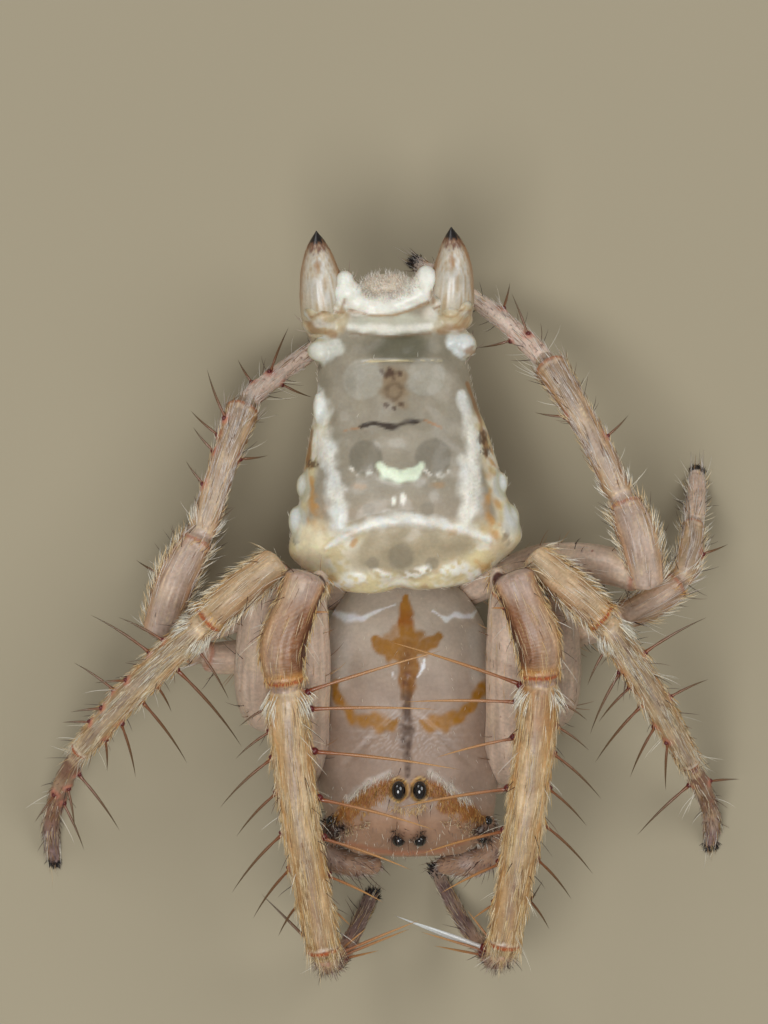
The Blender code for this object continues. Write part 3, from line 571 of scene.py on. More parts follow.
def stroke(places, path, soft=0.5, wobble=0.0, seed=1):
    """1 on a painted line through marks of px, py and width, 0 beside it."""
    across, down = marks(places)
    path = np.asarray(path, float)
    best = np.full(len(places), 1e9)
    for (x0, y0, w0), (x1, y1, w1) in zip(path, path[1:]):
        dx, dy = x1 - x0, y1 - y0
        t = np.clip(((across - x0) * dx + (down - y0) * dy) / max(dx * dx + dy * dy, 1e-9), 0, 1)
        away = np.hypot(across - x0 - t * dx, down - y0 - t * dy) / ((w0 + (w1 - w0) * t) / 2)
        best = np.minimum(best, away)
    if wobble:
        best = best + wobble * ripple(places, 0.12, seed)
    return 1 - rise(best, 1 - soft, 1 + soft)


def layers(paint, *steps):
    """Tones laid over a paint one after the other, each by its own amount."""
    for colour, amount in steps:
        paint = lay(paint, colour, amount)
    return paint


# Materials
class Look:
    """A procedural surface: painted colour, fine grain, gloss, depth and relief."""

    def __init__(self, name):
        self.material = bpy.data.materials.new(name)
        self.material.use_nodes = True
        self.tree = self.material.node_tree
        self.shader = self.tree.nodes["Principled BSDF"]

    def add(self, kind, **values):
        node = self.tree.nodes.new(kind)
        for key, value in values.items():
            setattr(node, key, value)
        return node

    def link(self, source, target):
        self.tree.links.new(source, target)

    def set(self, **values):
        for key, value in values.items():
            self.shader.inputs[key.replace("_", " ")].default_value = value

    def attribute(self, name):
        return self.add("ShaderNodeAttribute", attribute_name=name)

    def noise(self, scale, vector, detail=3.0, roughness=0.55):
        node = self.add("ShaderNodeTexNoise")
        node.inputs["Scale"].default_value = scale
        node.inputs["Detail"].default_value = detail
        node.inputs["Roughness"].default_value = roughness
        self.link(vector, node.inputs["Vector"])
        return node.outputs["Fac"]

    def spread(self, value, low, high, to_low, to_high):
        node = self.add("ShaderNodeMapRange", clamp=True)
        for key, number in zip(("From Min", "From Max", "To Min", "To Max"), (low, high, to_low, to_high)):
            node.inputs[key].default_value = number
        self.link(value, node.inputs["Value"])
        return node.outputs["Result"]

    def mix(self, blend, factor, first, second):
        node = self.add("ShaderNodeMix", data_type="RGBA", blend_type=blend)
        for key, value in ((0, factor), (6, first), (7, second)):
            socket = node.inputs[key]
            if isinstance(value, (int, float)):
                socket.default_value = value
            elif isinstance(value, (tuple, np.ndarray)):
                socket.default_value = (*value[:3], 1.0)
            else:
                self.link(value, socket)
        return node.outputs[2]

    def bump(self, heights):
        """Relief from pairs of height and depth in metres."""
        last = None
        for height, depth in heights:
            node = self.add("ShaderNodeBump")
            node.inputs["Distance"].default_value = depth
            self.link(height, node.inputs["Height"])
            if last:
                self.link(last, node.inputs["Normal"])
            last = node.outputs["Normal"]
        self.link(last, self.shader.inputs["Normal"])


def skin_look(name, gloss, coat, depth, grain, relief, streaks=0.0, mottle=0.13):
    """Live skin: paint from the piece's own attribute, mottled finely, with soft depth."""
    look = Look(name)
    place = look.add("ShaderNodeTexCoord").outputs["Object"]
    paint = look.attribute("paint").outputs["Vector"]
    fine = look.noise(1 / (grain * MM), place)
    broad = look.noise(1 / (grain * MM * 6), place, 2.0)
    shade = look.spread(fine, 0.3, 0.7, 1 - mottle, 1 + mottle)
    tinted = look.mix("MULTIPLY", 1.0, paint, shade)
    tinted = look.mix("MULTIPLY", 1.0, tinted, look.spread(broad, 0.35, 0.65, 0.92, 1.07))
    heights = [(fine, relief * MM)]
    if streaks:
        lines = look.noise(1 / (grain * MM * 2.2), look.attribute("grain").outputs["Vector"], 2.0)
        tinted = look.mix("MULTIPLY", 1.0, tinted, look.spread(lines, 0.32, 0.68, 1 - streaks, 1 + streaks))
        heights.append((lines, relief * 2 * MM))
    look.link(tinted, look.shader.inputs["Base Color"])
    look.link(look.spread(broad, 0.3, 0.7, gloss * 0.85, gloss * 1.15), look.shader.inputs["Roughness"])
    look.set(Coat_Weight=coat, Coat_Roughness=0.16, Subsurface_Weight=depth, Subsurface_Scale=0.25 * MM)
    look.set(Subsurface_Radius=(1.0, 0.62, 0.42))
    look.bump(heights)
    return look.material


def plain_look(name, gloss, coat=0.0, colour=None):
    """Hair, spine, claw and lens: its own paint, or one deep colour."""
    look = Look(name)
    place = look.add("ShaderNodeTexCoord").outputs["Object"]
    fine = look.noise(1 / (0.02 * MM), place)
    base = look.attribute("paint").outputs["Vector"] if colour is None else colour
    look.link(look.mix("MULTIPLY", 1.0, base, look.spread(fine, 0.3, 0.7, 0.85, 1.1)),
              look.shader.inputs["Base Color"])
    look.link(look.spread(fine, 0.3, 0.7, gloss * 0.8, gloss * 1.2), look.shader.inputs["Roughness"])
    look.set(Coat_Weight=coat, Coat_Roughness=0.05)
    return look.material


# Strands: spines, bristles, hairs and claws, and where each goes on its piece's map
def model_strand(sides, steps):
    """One unit strand along Z with a closed root and a point, to be copied and bent."""
    deselect()
    bpy.ops.mesh.primitive_circle_add(vertices=sides, radius=1.0, fill_type="NGON")
    item = bpy.context.object
    bpy.ops.object.mode_set(mode="EDIT")
    for _ in range(steps):
        bpy.ops.mesh.extrude_region_move(TRANSFORM_OT_translate={"value": (0, 0, 1 / steps)})
    bpy.ops.mesh.merge(type="CENTER")
    bpy.ops.mesh.select_all(action="SELECT")
    bpy.ops.mesh.quads_convert_to_tris()
    bpy.ops.mesh.normals_make_consistent(inside=False)
    bpy.ops.object.mode_set(mode="OBJECT")
    places = places_of(item)
    faces = np.array([face.vertices[:] for face in item.data.polygons])
    bpy.data.objects.remove(item)
    return places, faces


def grow(strand, roots, ways, lengths, widths, arcs, taper, root_paint, tip_paint, patches, fading=1.0):
    """Copies of a strand from their roots along their chords, arched and tapered, as one mesh."""
    template, faces = strand
    count = len(roots)
    rise_share = template[:, 2]
    side = unit(np.cross(ways, np.where(np.abs(ways[:, 2:]) < 0.9, (0, 0, 1.0), (0, 1.0, 0))))
    over = np.cross(ways, side)
    middle = ways[:, None, :] * rise_share[None, :, None]
    middle = middle + arcs[:, None, :] * (rise_share * (1 - rise_share))[None, :, None]
    thick = along(taper, rise_share)[None, :, None] * (widths / 2)[:, None, None]
    ring = side[:, None, :] * template[None, :, :1] + over[:, None, :] * template[None, :, 1:2]
    places = roots[:, None, :] + middle * lengths[:, None, None] + ring * thick
    # Strands that would dip into the floor bend up
    low = np.minimum(places[:, :, 2].min(axis=1), 0.0)
    places[:, :, 2] -= low[:, None] * np.sqrt(rise_share)
    places[:, :, 2] = np.maximum(places[:, :, 2], FLOOR_GAP)
    mesh = bpy.data.meshes.new("strands")
    mesh.vertices.add(count * len(template))
    mesh.vertices.foreach_set("co", places.astype(np.float32).ravel())
    corners = (faces[None] + (np.arange(count) * len(template))[:, None, None]).ravel()
    mesh.loops.add(len(corners))
    mesh.loops.foreach_set("vertex_index", corners.astype(np.int32))
    mesh.polygons.add(len(corners) // 3)
    mesh.polygons.foreach_set("loop_start", np.arange(0, len(corners), 3, dtype=np.int32))
    mesh.update(calc_edges=True)
    item = bpy.data.objects.new("strands", mesh)
    bpy.context.scene.collection.objects.link(item)
    fade = rise_share[None, :, None] ** fading
    note(item, "paint", (root_paint[:, None, :] * (1 - fade) + tip_paint[:, None, :] * fade).reshape(-1, 3))
    if patches is not None:
        bake_map(mesh, template, faces, patches)
    return item


PATCH = 0.003
FLOOR_GAP = 0.001


def on_map(turns, runs):
    """Places on a piece's unwrap, kept just inside its edges."""
    return np.stack([turns, runs], axis=1) * 0.98 + 0.01


def bake_map(mesh, template, faces, patches):
    """Each strand's own small patch at its root's place on the unwrapped skin."""
    flat = template[:, :2] * 0.25 + template[:, 2:3] * (0.0, 0.5) - (0.0, 0.25)
    corners = patches[:, None, :] + flat[faces.ravel()][None] * PATCH
    layer = mesh.uv_layers.new(name="OFBake")
    layer.data.foreach_set("uv", corners.astype(np.float32).ravel())


def scatter(item, count, chance, weight=None):
    """Random places on a skin with their normals."""
    mesh = item.data
    mesh.calc_loop_triangles()
    corners = np.empty(len(mesh.loop_triangles) * 3, np.int32)
    mesh.loop_triangles.foreach_get("vertices", corners)
    corners = corners.reshape(-1, 3)
    places = places_of(item)
    normals = normals_of(item)
    a, b, c = (places[corners[:, i]] for i in range(3))
    area = np.linalg.norm(np.cross(b - a, c - a), axis=1)
    if weight is not None:
        area = area * weight[corners].mean(axis=1)
    chosen = chance.choice(len(corners), size=count, p=area / area.sum())
    u, v = chance.uniform(size=(2, count, 1))
    over = u + v > 1
    u, v = np.where(over, 1 - u, u), np.where(over, 1 - v, v)
    shares = np.stack([1 - u - v, u, v])
    where = sum(share * places[corners[chosen, i]] for i, share in enumerate(shares))
    up = sum(share * normals[corners[chosen, i]] for i, share in enumerate(shares))
    return where, unit(up)


# Legs
COXA, FEMUR, PATELLA, TIBIA, FOOT = range(5)
FLAT_END = 0.4


class Leg:
    """A leg's middle line, widths and frames, sampled along every segment."""

    def __init__(self, name):
        self.name = name
        self.kind = name.split("_")[0]
        self.outward = -1.0 if name.endswith("right") else 1.0
        rows = [self.sample(number, segment) for number, segment in enumerate(SEGMENTS)]
        names = ("places", "radii", "ways", "ups", "asides", "part", "share", "run", "left")
        for field, column in zip(names, zip(*rows)):
            setattr(self, field, np.concatenate(column))
        steps = np.linalg.norm(np.diff(self.places, axis=0), axis=1)
        self.far = np.concatenate([[0], np.cumsum(steps)])

    def sample(self, number, segment):
        knots = waist(LEG_RUNS[self.name][segment])
        length = np.linalg.norm(np.diff(knots, axis=0), axis=1).sum()
        share = np.linspace(0, 1, max(9, round(length / SAMPLE_STEP)))
        places = along(knots, share)
        ways = unit(np.gradient(places, axis=0))
        ups = np.empty_like(ways)
        up = np.array((0, 0, 1.0)) if abs(ways[0, 2]) < 0.9 else np.array((0, -1.0, 0))
        for i, way in enumerate(ways):
            up = unit(up - way * (up @ way))
            ups[i] = up
        asides = np.cross(ways, ups)
        if asides[:, 0].sum() * self.outward < 0:
            asides = -asides
        run = share * length
        left = length - run
        radii = along(SKIN_WIDTHS[self.kind][segment], share) / 2 * self.profile(number, share, run, left)
        return places, radii, ways, ups, asides, np.full(len(share), number), share, run, left

    def profile(self, number, share, run, left):
        """Narrow behind a joint, with a low lip before the next one."""
        profile = 1 + LIP_HEIGHT * bell(left, LIP_RUN, LIP_RUN)
        if number == PATELLA:
            profile = profile + LIP_HEIGHT * 0.6 * bell(run, LIP_RUN, LIP_RUN)
        else:
            profile = profile - NECK_DEPTH * bell(run, 0, NECK_RUN)
        if number == FOOT:
            profile = profile - ANKLE_DEPTH * bell(share, ANKLE_SHARE, 0.03)
        return profile

    def nearest(self, places):
        """For each place, the sample whose surface it lies on."""
        best = np.full(len(places), 1e9)
        which = np.zeros(len(places), int)
        for i in range(len(self.places)):
            away = np.linalg.norm(places - self.places[i], axis=1) - self.radii[i]
            closer = away < best
            best[closer] = away[closer]
            which[closer] = i
        return which

    def spines(self):
        """Roots, outward ways, chords, lengths, segment directions and segments of the leg's spines."""
        rows = []
        for number, segment in enumerate(SEGMENTS):
            mine = np.flatnonzero(self.part == number)
            for share, turn, dip, length in SPINES.get(f"{self.name}_{segment}", ()):
                at = mine[0] + round(share * (len(mine) - 1))
                turn, dip = math.radians(turn), math.radians(dip)
                chord = np.array((math.cos(turn) * math.cos(dip), math.sin(turn) * math.cos(dip),
                                  -math.sin(dip)))
                outward = unit(chord - self.ways[at] * (chord @ self.ways[at]))
                rows.append((self.places[at] + outward * self.radii[at], outward, chord, length,
                             self.ways[at], number))
        return [np.array(column) for column in zip(*rows)]

    def build(self):
        tubes = []
        for number, segment in enumerate(SEGMENTS):
            mine = self.part == number
            tubes.append(draw_tube(segment, self.places[mine], self.radii[mine], 6, FLAT_END))
        if self.name in KNEE_LOBES:
            tubes.append(draw_ball("lobe", seen(*KNEE_LOBES[self.name]), LOBE_SIZE))
        return fuse(self.name, tubes, LEG_VOXEL)


class Skin:
    """Where places on a leg's skin lie on the leg."""

    def __init__(self, leg, places):
        at = leg.nearest(places)
        offset = places - leg.places[at]
        self.places = places
        self.leg = leg
        self.part = leg.part[at]
        self.share = leg.share[at]
        past = (offset * leg.ways[at]).sum(axis=1)
        self.run = leg.run[at] + past
        self.left = leg.left[at] - past
        self.far = leg.far[at]
        self.radius = leg.radii[at]
        self.ways = leg.ways[at]
        self.aside = (offset * leg.asides[at]).sum(axis=1) / leg.radii[at]
        self.up = (offset * leg.ups[at]).sum(axis=1) / leg.radii[at]

    def grain(self):
        across = self.aside * self.radius
        return np.stack([across, self.up * self.radius, self.far * 0.10], axis=1)

    def patches(self):
        """Places on the unwrap: round the leg and along it."""
        turn = np.arctan2(self.aside, self.up) / (2 * math.pi) + 0.5
        return on_map(turn, self.far / self.leg.far[-1])


# The thigh's end, a lobe beside the knee's top: place in the frame and height
KNEE_LOBES = {"leg1_right": (319.5, 583, 3.64), "leg1_left": (497.5, 580, 3.64)}
LOBE_SIZE = (0.15, 0.19, 0.32)
PAD_REACH = 0.085
PAD_HEIGHT = 0.030
SPINE_TAPER = (1.25, 1.05, 0.72, 0.86, 0.84, 0.78, 0.70, 0.60, 0.48, 0.34, 0.18, 0.03)
SPINE_SIDES = 8
BALL_TAPER = (0.5, 0.85, 1.0, 1.0, 0.85, 0.55, 0.1)
BALL_SIZE = 1.9
CLAW_LENGTH = 0.13
CLAW_WIDTH = 0.034
LOBE_REACH = 0.30
SKIN_GAP = 0.002

# Colours of the legs: shins, knees and feet by leg, and what all share
SHIN = {"leg1": tone(190, 154, 106), "leg2": tone(166, 140, 108), "leg3": tone(184, 156, 126),
        "leg4": tone(182, 158, 134)}
KNEE = {"leg1": tone(180, 154, 138), "leg2": tone(198, 172, 138), "leg3": tone(188, 162, 140),
        "leg4": tone(194, 172, 156)}
TOE = {"leg1": tone(180, 140, 120), "leg2": tone(140, 104, 84), "leg3": tone(224, 196, 176),
       "leg4": tone(236, 212, 196)}
MAUVE = tone(174, 156, 142)
GLASS = tone(208, 184, 164)
OCHRE_BROWN = tone(134, 74, 24)
KNEE_GOLD = tone(158, 112, 52)
DARK_EDGE = tone(74, 34, 22)
RIM_RED = tone(176, 84, 34)
PAD_PINK = tone(204, 132, 110)
PALE = tone(230, 206, 168)
TOE_GREY = tone(142, 118, 114)


def nearness(places, roots, reach):
    """1 at any root, falling off over a reach."""
    best = np.zeros(len(places))
    for root in roots:
        best = np.maximum(best, np.exp(-(((places - root) ** 2).sum(axis=1)) / reach**2))
    return best


def build_leg(name, looks):
    leg = Leg(name)
    item = leg.build()
    roots, outwards, chords, lengths, ways, numbers = leg.spines()
    places = places_of(item)
    pads = nearness(places, roots[numbers != PATELLA], PAD_REACH)
    places = places + normals_of(item) * (pads * PAD_HEIGHT)[:, None]
    skin = Skin(leg, places)
    places = places + normals_of(item) * leg_relief(skin)[:, None]
    places[:, 2] = np.maximum(places[:, 2], SKIN_GAP)
    put(item, places)
    note(item, "paint", leg_paint(skin, pads))
    note(item, "grain", skin.grain() * MM)
    grow_leg_coat(leg, item, looks)
    grow_spines(leg, roots, outwards, chords, lengths, ways, numbers, looks)
    nodes = [f"{name}_{segment}" for segment in SEGMENTS]
    finish_piece(item, f"skin_{name}", looks["leg"], "leg_skin", *nodes)


def leg_relief(skin):
    """Fine lengthwise ridges, and rings at the joints."""
    streaks = ripple(skin.grain(), 0.05, 5) * 0.004
    creases = -0.012 * bell(skin.left, 0.10, 0.02) * (skin.part != COXA)
    return streaks + creases


def leg_paint(skin, pads):
    """Glassy inner segments, striped shins, a banded knee, red-brown joint rims, darker toes and painted
    shade underneath.
    """
    places, part, kind = skin.places, skin.part, skin.leg.kind
    front = kind in ("leg1", "leg2")
    cloud = ripple(places, 0.35, 11)
    fine = ripple(places, 0.035, 12)
    paint = np.tile(GLASS, (len(places), 1))
    paint = lay(paint, KNEE[kind], (part == PATELLA) * 1.0)
    shin = (part == TIBIA) * 1.0
    paint = lay(paint, SHIN[kind], shin)
    top = rise(skin.up, -0.2, 0.5)
    paint = lay(paint, MAUVE, shin * bell(skin.aside, 0.0, 0.34) * top * 0.75)
    paint = lay(paint, PALE, shin * bell(skin.aside, -0.52, 0.16) * top * (0.5 if front else 0.3))
    # Gold along both edges, with a thin brown outline
    edge, outer = np.abs(skin.aside), (part >= PATELLA) * 1.0
    paint = layers(
        paint,
        (tone(208, 152, 92), outer * bell(edge, 0.84, 0.20) * (0.65 if kind == "leg1" else 0.5)),
        (tone(140, 76, 40), outer * bell(edge, 1.04, 0.10) * 0.75),
        (tone(146, 106, 56), shin * rise(skin.share, 0.35, 1.0) * (0.62 if kind == "leg1" else 0.15)),
    )
    if skin.leg.name == "leg1_left":
        paint = lay(paint, tone(160, 108, 54), shin * rise(0.30 - skin.share, 0.0, 0.22) * 0.55)
    lines = ripple(skin.grain(), 0.022, 13)
    paint = lay(paint, PALE, (part >= PATELLA) * rise(lines, 0.5, 1.5) * 0.6)
    paint = lay(paint, tone(136, 96, 70), (part >= PATELLA) * rise(-lines, 0.6, 1.7) * 0.35)
    toe = (part == FOOT) * 1.0
    paint = layers(
        paint,
        (TOE[kind], toe),
        (TOE_GREY, toe * rise(skin.share, 0.45, 0.7) * (0.9 if front else 0.15)),
        (tone(122, 66, 52), toe * rise(fine, 0.9, 1.7) * rise(0.6 - skin.share, -0.1, 0.1) * 0.7),
        (PALE, rise(cloud, 0.2, 1.2) * 0.25),
        # Small red-brown dots on the glassy thighs
        (tone(134, 70, 60), (part <= FEMUR) * rise(fine, 1.75, 2.1) * 0.7),
    )
    # The knee: a banded ochre-brown inner side with a dark edge, and a mauve middle
    knee = (part == PATELLA) * (1.0 if kind == "leg1" else 0.40 if kind == "leg2" else 0.15)
    bars = 0.70 + 0.30 * np.sin(skin.run / 0.020 * math.pi + 1.5 * cloud)
    middle = rise(skin.share, 0.12, 0.42) * rise(0.99 - skin.share, 0.0, 0.12)
    paint = layers(
        paint,
        (KNEE_GOLD, knee * bell(skin.aside, -0.20, 0.95) * top * bars * middle * 0.65),
        (OCHRE_BROWN, knee * bell(skin.aside, -0.50, 0.50) * top * bars * middle * 0.75),
        (tone(104, 56, 32), knee * bell(skin.aside, -0.80, 0.22) * top * middle * 0.85),
        (DARK_EDGE, knee * bell(skin.aside, -0.95, 0.14) * rise(skin.up, -0.6, -0.1)),
        (DARK_EDGE, knee * bell(skin.aside, 1.0, 0.10) * rise(0.5 - skin.share, -0.2, 0.2) * 0.85),
    )
    end = knee * rise(-skin.run, -0.01, 0.03)
    paint = layers(
        paint,
        (KNEE[kind], end),
        (DARK_EDGE, end * rise(0.36 - skin.up, -0.10, 0.10)),
        (tone(206, 148, 78), knee * bell(skin.left, 0.085, 0.070) * (0.55 + 0.2 * cloud).clip(0, 1)),
    )
    if skin.leg.name in KNEE_LOBES:
        lobe = nearness(places, [seen(*KNEE_LOBES[skin.leg.name])], LOBE_REACH) * (skin.run < 0.06)
        paint = lay(paint, GLASS, rise(lobe, 0.40, 0.50))
        paint = lay(paint, DARK_EDGE, bell(lobe, 0.36, 0.05) * 0.8)
    # Pale and red-brown rims at the joints, and the spines' pads
    joint = (part != COXA) * (part != FOOT)
    ragged = 0.010 * cloud + 0.006 * fine
    rims = joint * (1.0 if front else 0.55)
    paint = layers(
        paint,
        (RIM_RED, rims * bell(skin.left, 0.004 + ragged, 0.030)),
        (tone(112, 44, 22), rims * bell(skin.left, 0.034 + ragged, 0.008) * 0.6),
        (PALE, (part >= TIBIA) * bell(skin.run, 0.02, 0.03) * 0.5),
        (tone(244, 236, 220),
         (part == TIBIA) * bell(skin.left, 0.06 + ragged, 0.014) * (0.4 if front else 0.1)),
        (PAD_PINK, rise(pads, 0.05, 0.6) * 0.8),
        (tone(112, 34, 30), rise(pads, 0.66, 0.95)),
    )
    # Painted shade: each segment's own paint, darkened where its skin faces down
    under = rise(-skin.up, 0.1, 0.9)
    return lay(paint, paint * 0.88, under)


WARM_SPINE = (tone(116, 34, 20), tone(198, 150, 92))
COOL_SPINE = (tone(142, 76, 36), tone(86, 76, 50))
GLASSY_SPINE = (tone(180, 166, 158), tone(222, 228, 226))


def grow_spines(leg, roots, outwards, chords, lengths, ways, numbers, looks):
    """Spines on small dark balls, bowed towards the body, and a pair of claws on the toe."""
    centre = waist((HEAD_MIDDLE, 0, 0))[0]
    inward = np.sign(centre - roots[:, 0]) * chords[:, 0] > 0
    warm = (inward & (leg.kind == "leg1"))[:, None]
    glassy = ((numbers == FOOT) & (lengths > 1.1) & (leg.name == "leg1_left"))[:, None]
    widths = np.where(warm[:, 0], 0.036, 0.037) + 0.012 * np.minimum(lengths, 1.8)
    widths = widths * np.where(glassy[:, 0], 1.5, 1.0)
    arcs = -ways * np.where(warm, 0.05, 0.14) + outwards * np.where(warm, 0.06, 0.08)
    root_paint, tip_paint = (
        np.where(glassy, GLASSY_SPINE[i], np.where(warm, WARM_SPINE[i], COOL_SPINE[i])) for i in (0, 1)
    )
    strand = model_strand(SPINE_SIDES, len(SPINE_TAPER) - 1)
    start = roots - outwards * 0.03
    item = grow(strand, start, chords, lengths + 0.03, widths, arcs, SPINE_TAPER, root_paint, tip_paint,
                None, 0.55)
    ball = model_strand(8, len(BALL_TAPER) - 1)
    size = widths * np.where(numbers == PATELLA, 0.8, np.where(warm[:, 0], BALL_SIZE, BALL_SIZE * 0.75))
    dark = np.tile(tone(98, 26, 26), (len(roots), 1))
    balls = grow(ball, roots - outwards * 0.005, outwards, size, size * 1.1, arcs * 0, BALL_TAPER, dark,
                 dark, None)
    # Claws
    toe, way, aside = leg.places[-1], leg.ways[-1], leg.asides[-1]
    sides = np.array((-1.0, 0.0, 1.0))[:, None]
    claw_ways = unit(way * 0.9 + aside * sides * 0.35)
    claw_roots = toe + claw_ways * 0.03 + aside * sides * 0.03
    claw_roots[:, 2] = np.maximum(claw_roots[:, 2], 0.03)
    claw_ways[:, 2] = np.maximum(claw_ways[:, 2], 0.02)
    black = np.tile(tone(30, 22, 20), (3, 1))
    bows = np.tile((0, 0, 0.5), (3, 1))
    claws = grow(strand, claw_roots, claw_ways, np.full(3, CLAW_LENGTH), np.full(3, CLAW_WIDTH), bows,
                 SPINE_TAPER,
                 black, black, None)
    choose(item, balls, claws)
    bpy.ops.object.join()
    finish_piece(item, f"spines_{leg.name}", looks["spine"], "leg_skin")


# Coats
HAIR_TAPER = (1.0, 0.92, 0.7, 0.04)
LONG_TAPER = (1.1, 1.0, 0.92, 0.8, 0.6, 0.36, 0.03)


class Coat:
    """Hairs gathered for one piece."""

    def __init__(self, seed, taper):
        self.chance = np.random.default_rng(seed)
        self.taper = taper
        self.rows = []

    def add(self, roots, normals, flow, patches, length, width, lift, stray, arch, paints):
        """Hairs that follow a flow over the skin, lifted off it by degrees and arched away from it."""
        count = len(roots)
        chance = self.chance
        flow = unit(flow - normals * (flow * normals).sum(axis=1, keepdims=True))
        side = np.cross(normals, flow)
        turn = np.radians(chance.normal(0, stray, count))[:, None]
        lifts = np.radians(chance.uniform(*lift, count))[:, None]
        chords = (flow * np.cos(turn) + side * np.sin(turn)) * np.cos(lifts) + normals * np.sin(lifts)
        lengths = chance.uniform(*length, count)
        widths = chance.uniform(*width, count)
        arcs = normals * chance.uniform(*arch, (count, 1)) + side * chance.normal(0, 0.08, (count, 1))
        start = roots - normals * widths[:, None] * 0.4
        self.rows.append((start, chords, lengths, widths, arcs, paints[0], paints[1], patches))

    def build(self, name, material, slot):
        if not self.rows:
            return None
        columns = (np.concatenate(c) for c in zip(*self.rows))
        roots, chords, lengths, widths, arcs, first, last, patches = columns
        strand = model_strand(3, len(self.taper) - 1)
        item = grow(strand, roots, chords, lengths, widths, arcs, self.taper, first, last, patches)
        return finish_piece(item, name, material, slot)


def blend_tones(chance, count, tones, spread=0.12):
    """A random pick between tones, each hair a little lighter or darker."""
    tones = np.asarray(tones)
    picked = tones[chance.integers(0, len(tones), count)]
    return picked * chance.normal(1, spread, (count, 1)).clip(0.6, 1.4)


FUR_GOLD = (tone(216, 172, 104), tone(192, 142, 80), tone(228, 196, 134))
FUR_PALE = (tone(236, 212, 166), tone(222, 194, 146), tone(242, 228, 196))
FUR_WHITE = (tone(246, 242, 228), tone(236, 230, 210))
FUR_SILVER = (tone(236, 228, 220), tone(214, 200, 190), tone(242, 238, 232))
FUR_GREY = (tone(170, 148, 134), tone(138, 114, 102), tone(200, 182, 164))
FUR_MAUVE = (tone(178, 154, 144), tone(146, 120, 112), tone(204, 186, 174))
FUR_BROWN = (tone(150, 112, 76), tone(120, 86, 58), tone(178, 142, 98))
FUR_DARK = (tone(66, 46, 36), tone(92, 62, 44), tone(50, 36, 32))
FUR_BLACK = (tone(26, 20, 20), tone(36, 28, 28))
HAIR_SHARE = {"leg1": 2300, "leg2": 1700, "leg3": 600, "leg4": 1000}
LINES = {"leg1": FUR_PALE + FUR_GOLD[2:], "leg2": FUR_PALE + FUR_WHITE, "leg3": FUR_SILVER,
         "leg4": FUR_SILVER}
FRINGE = {"leg1": FUR_GOLD + FUR_PALE, "leg2": FUR_GOLD + FUR_PALE, "leg3": FUR_PALE,
          "leg4": FUR_PALE + FUR_BROWN[:1]}


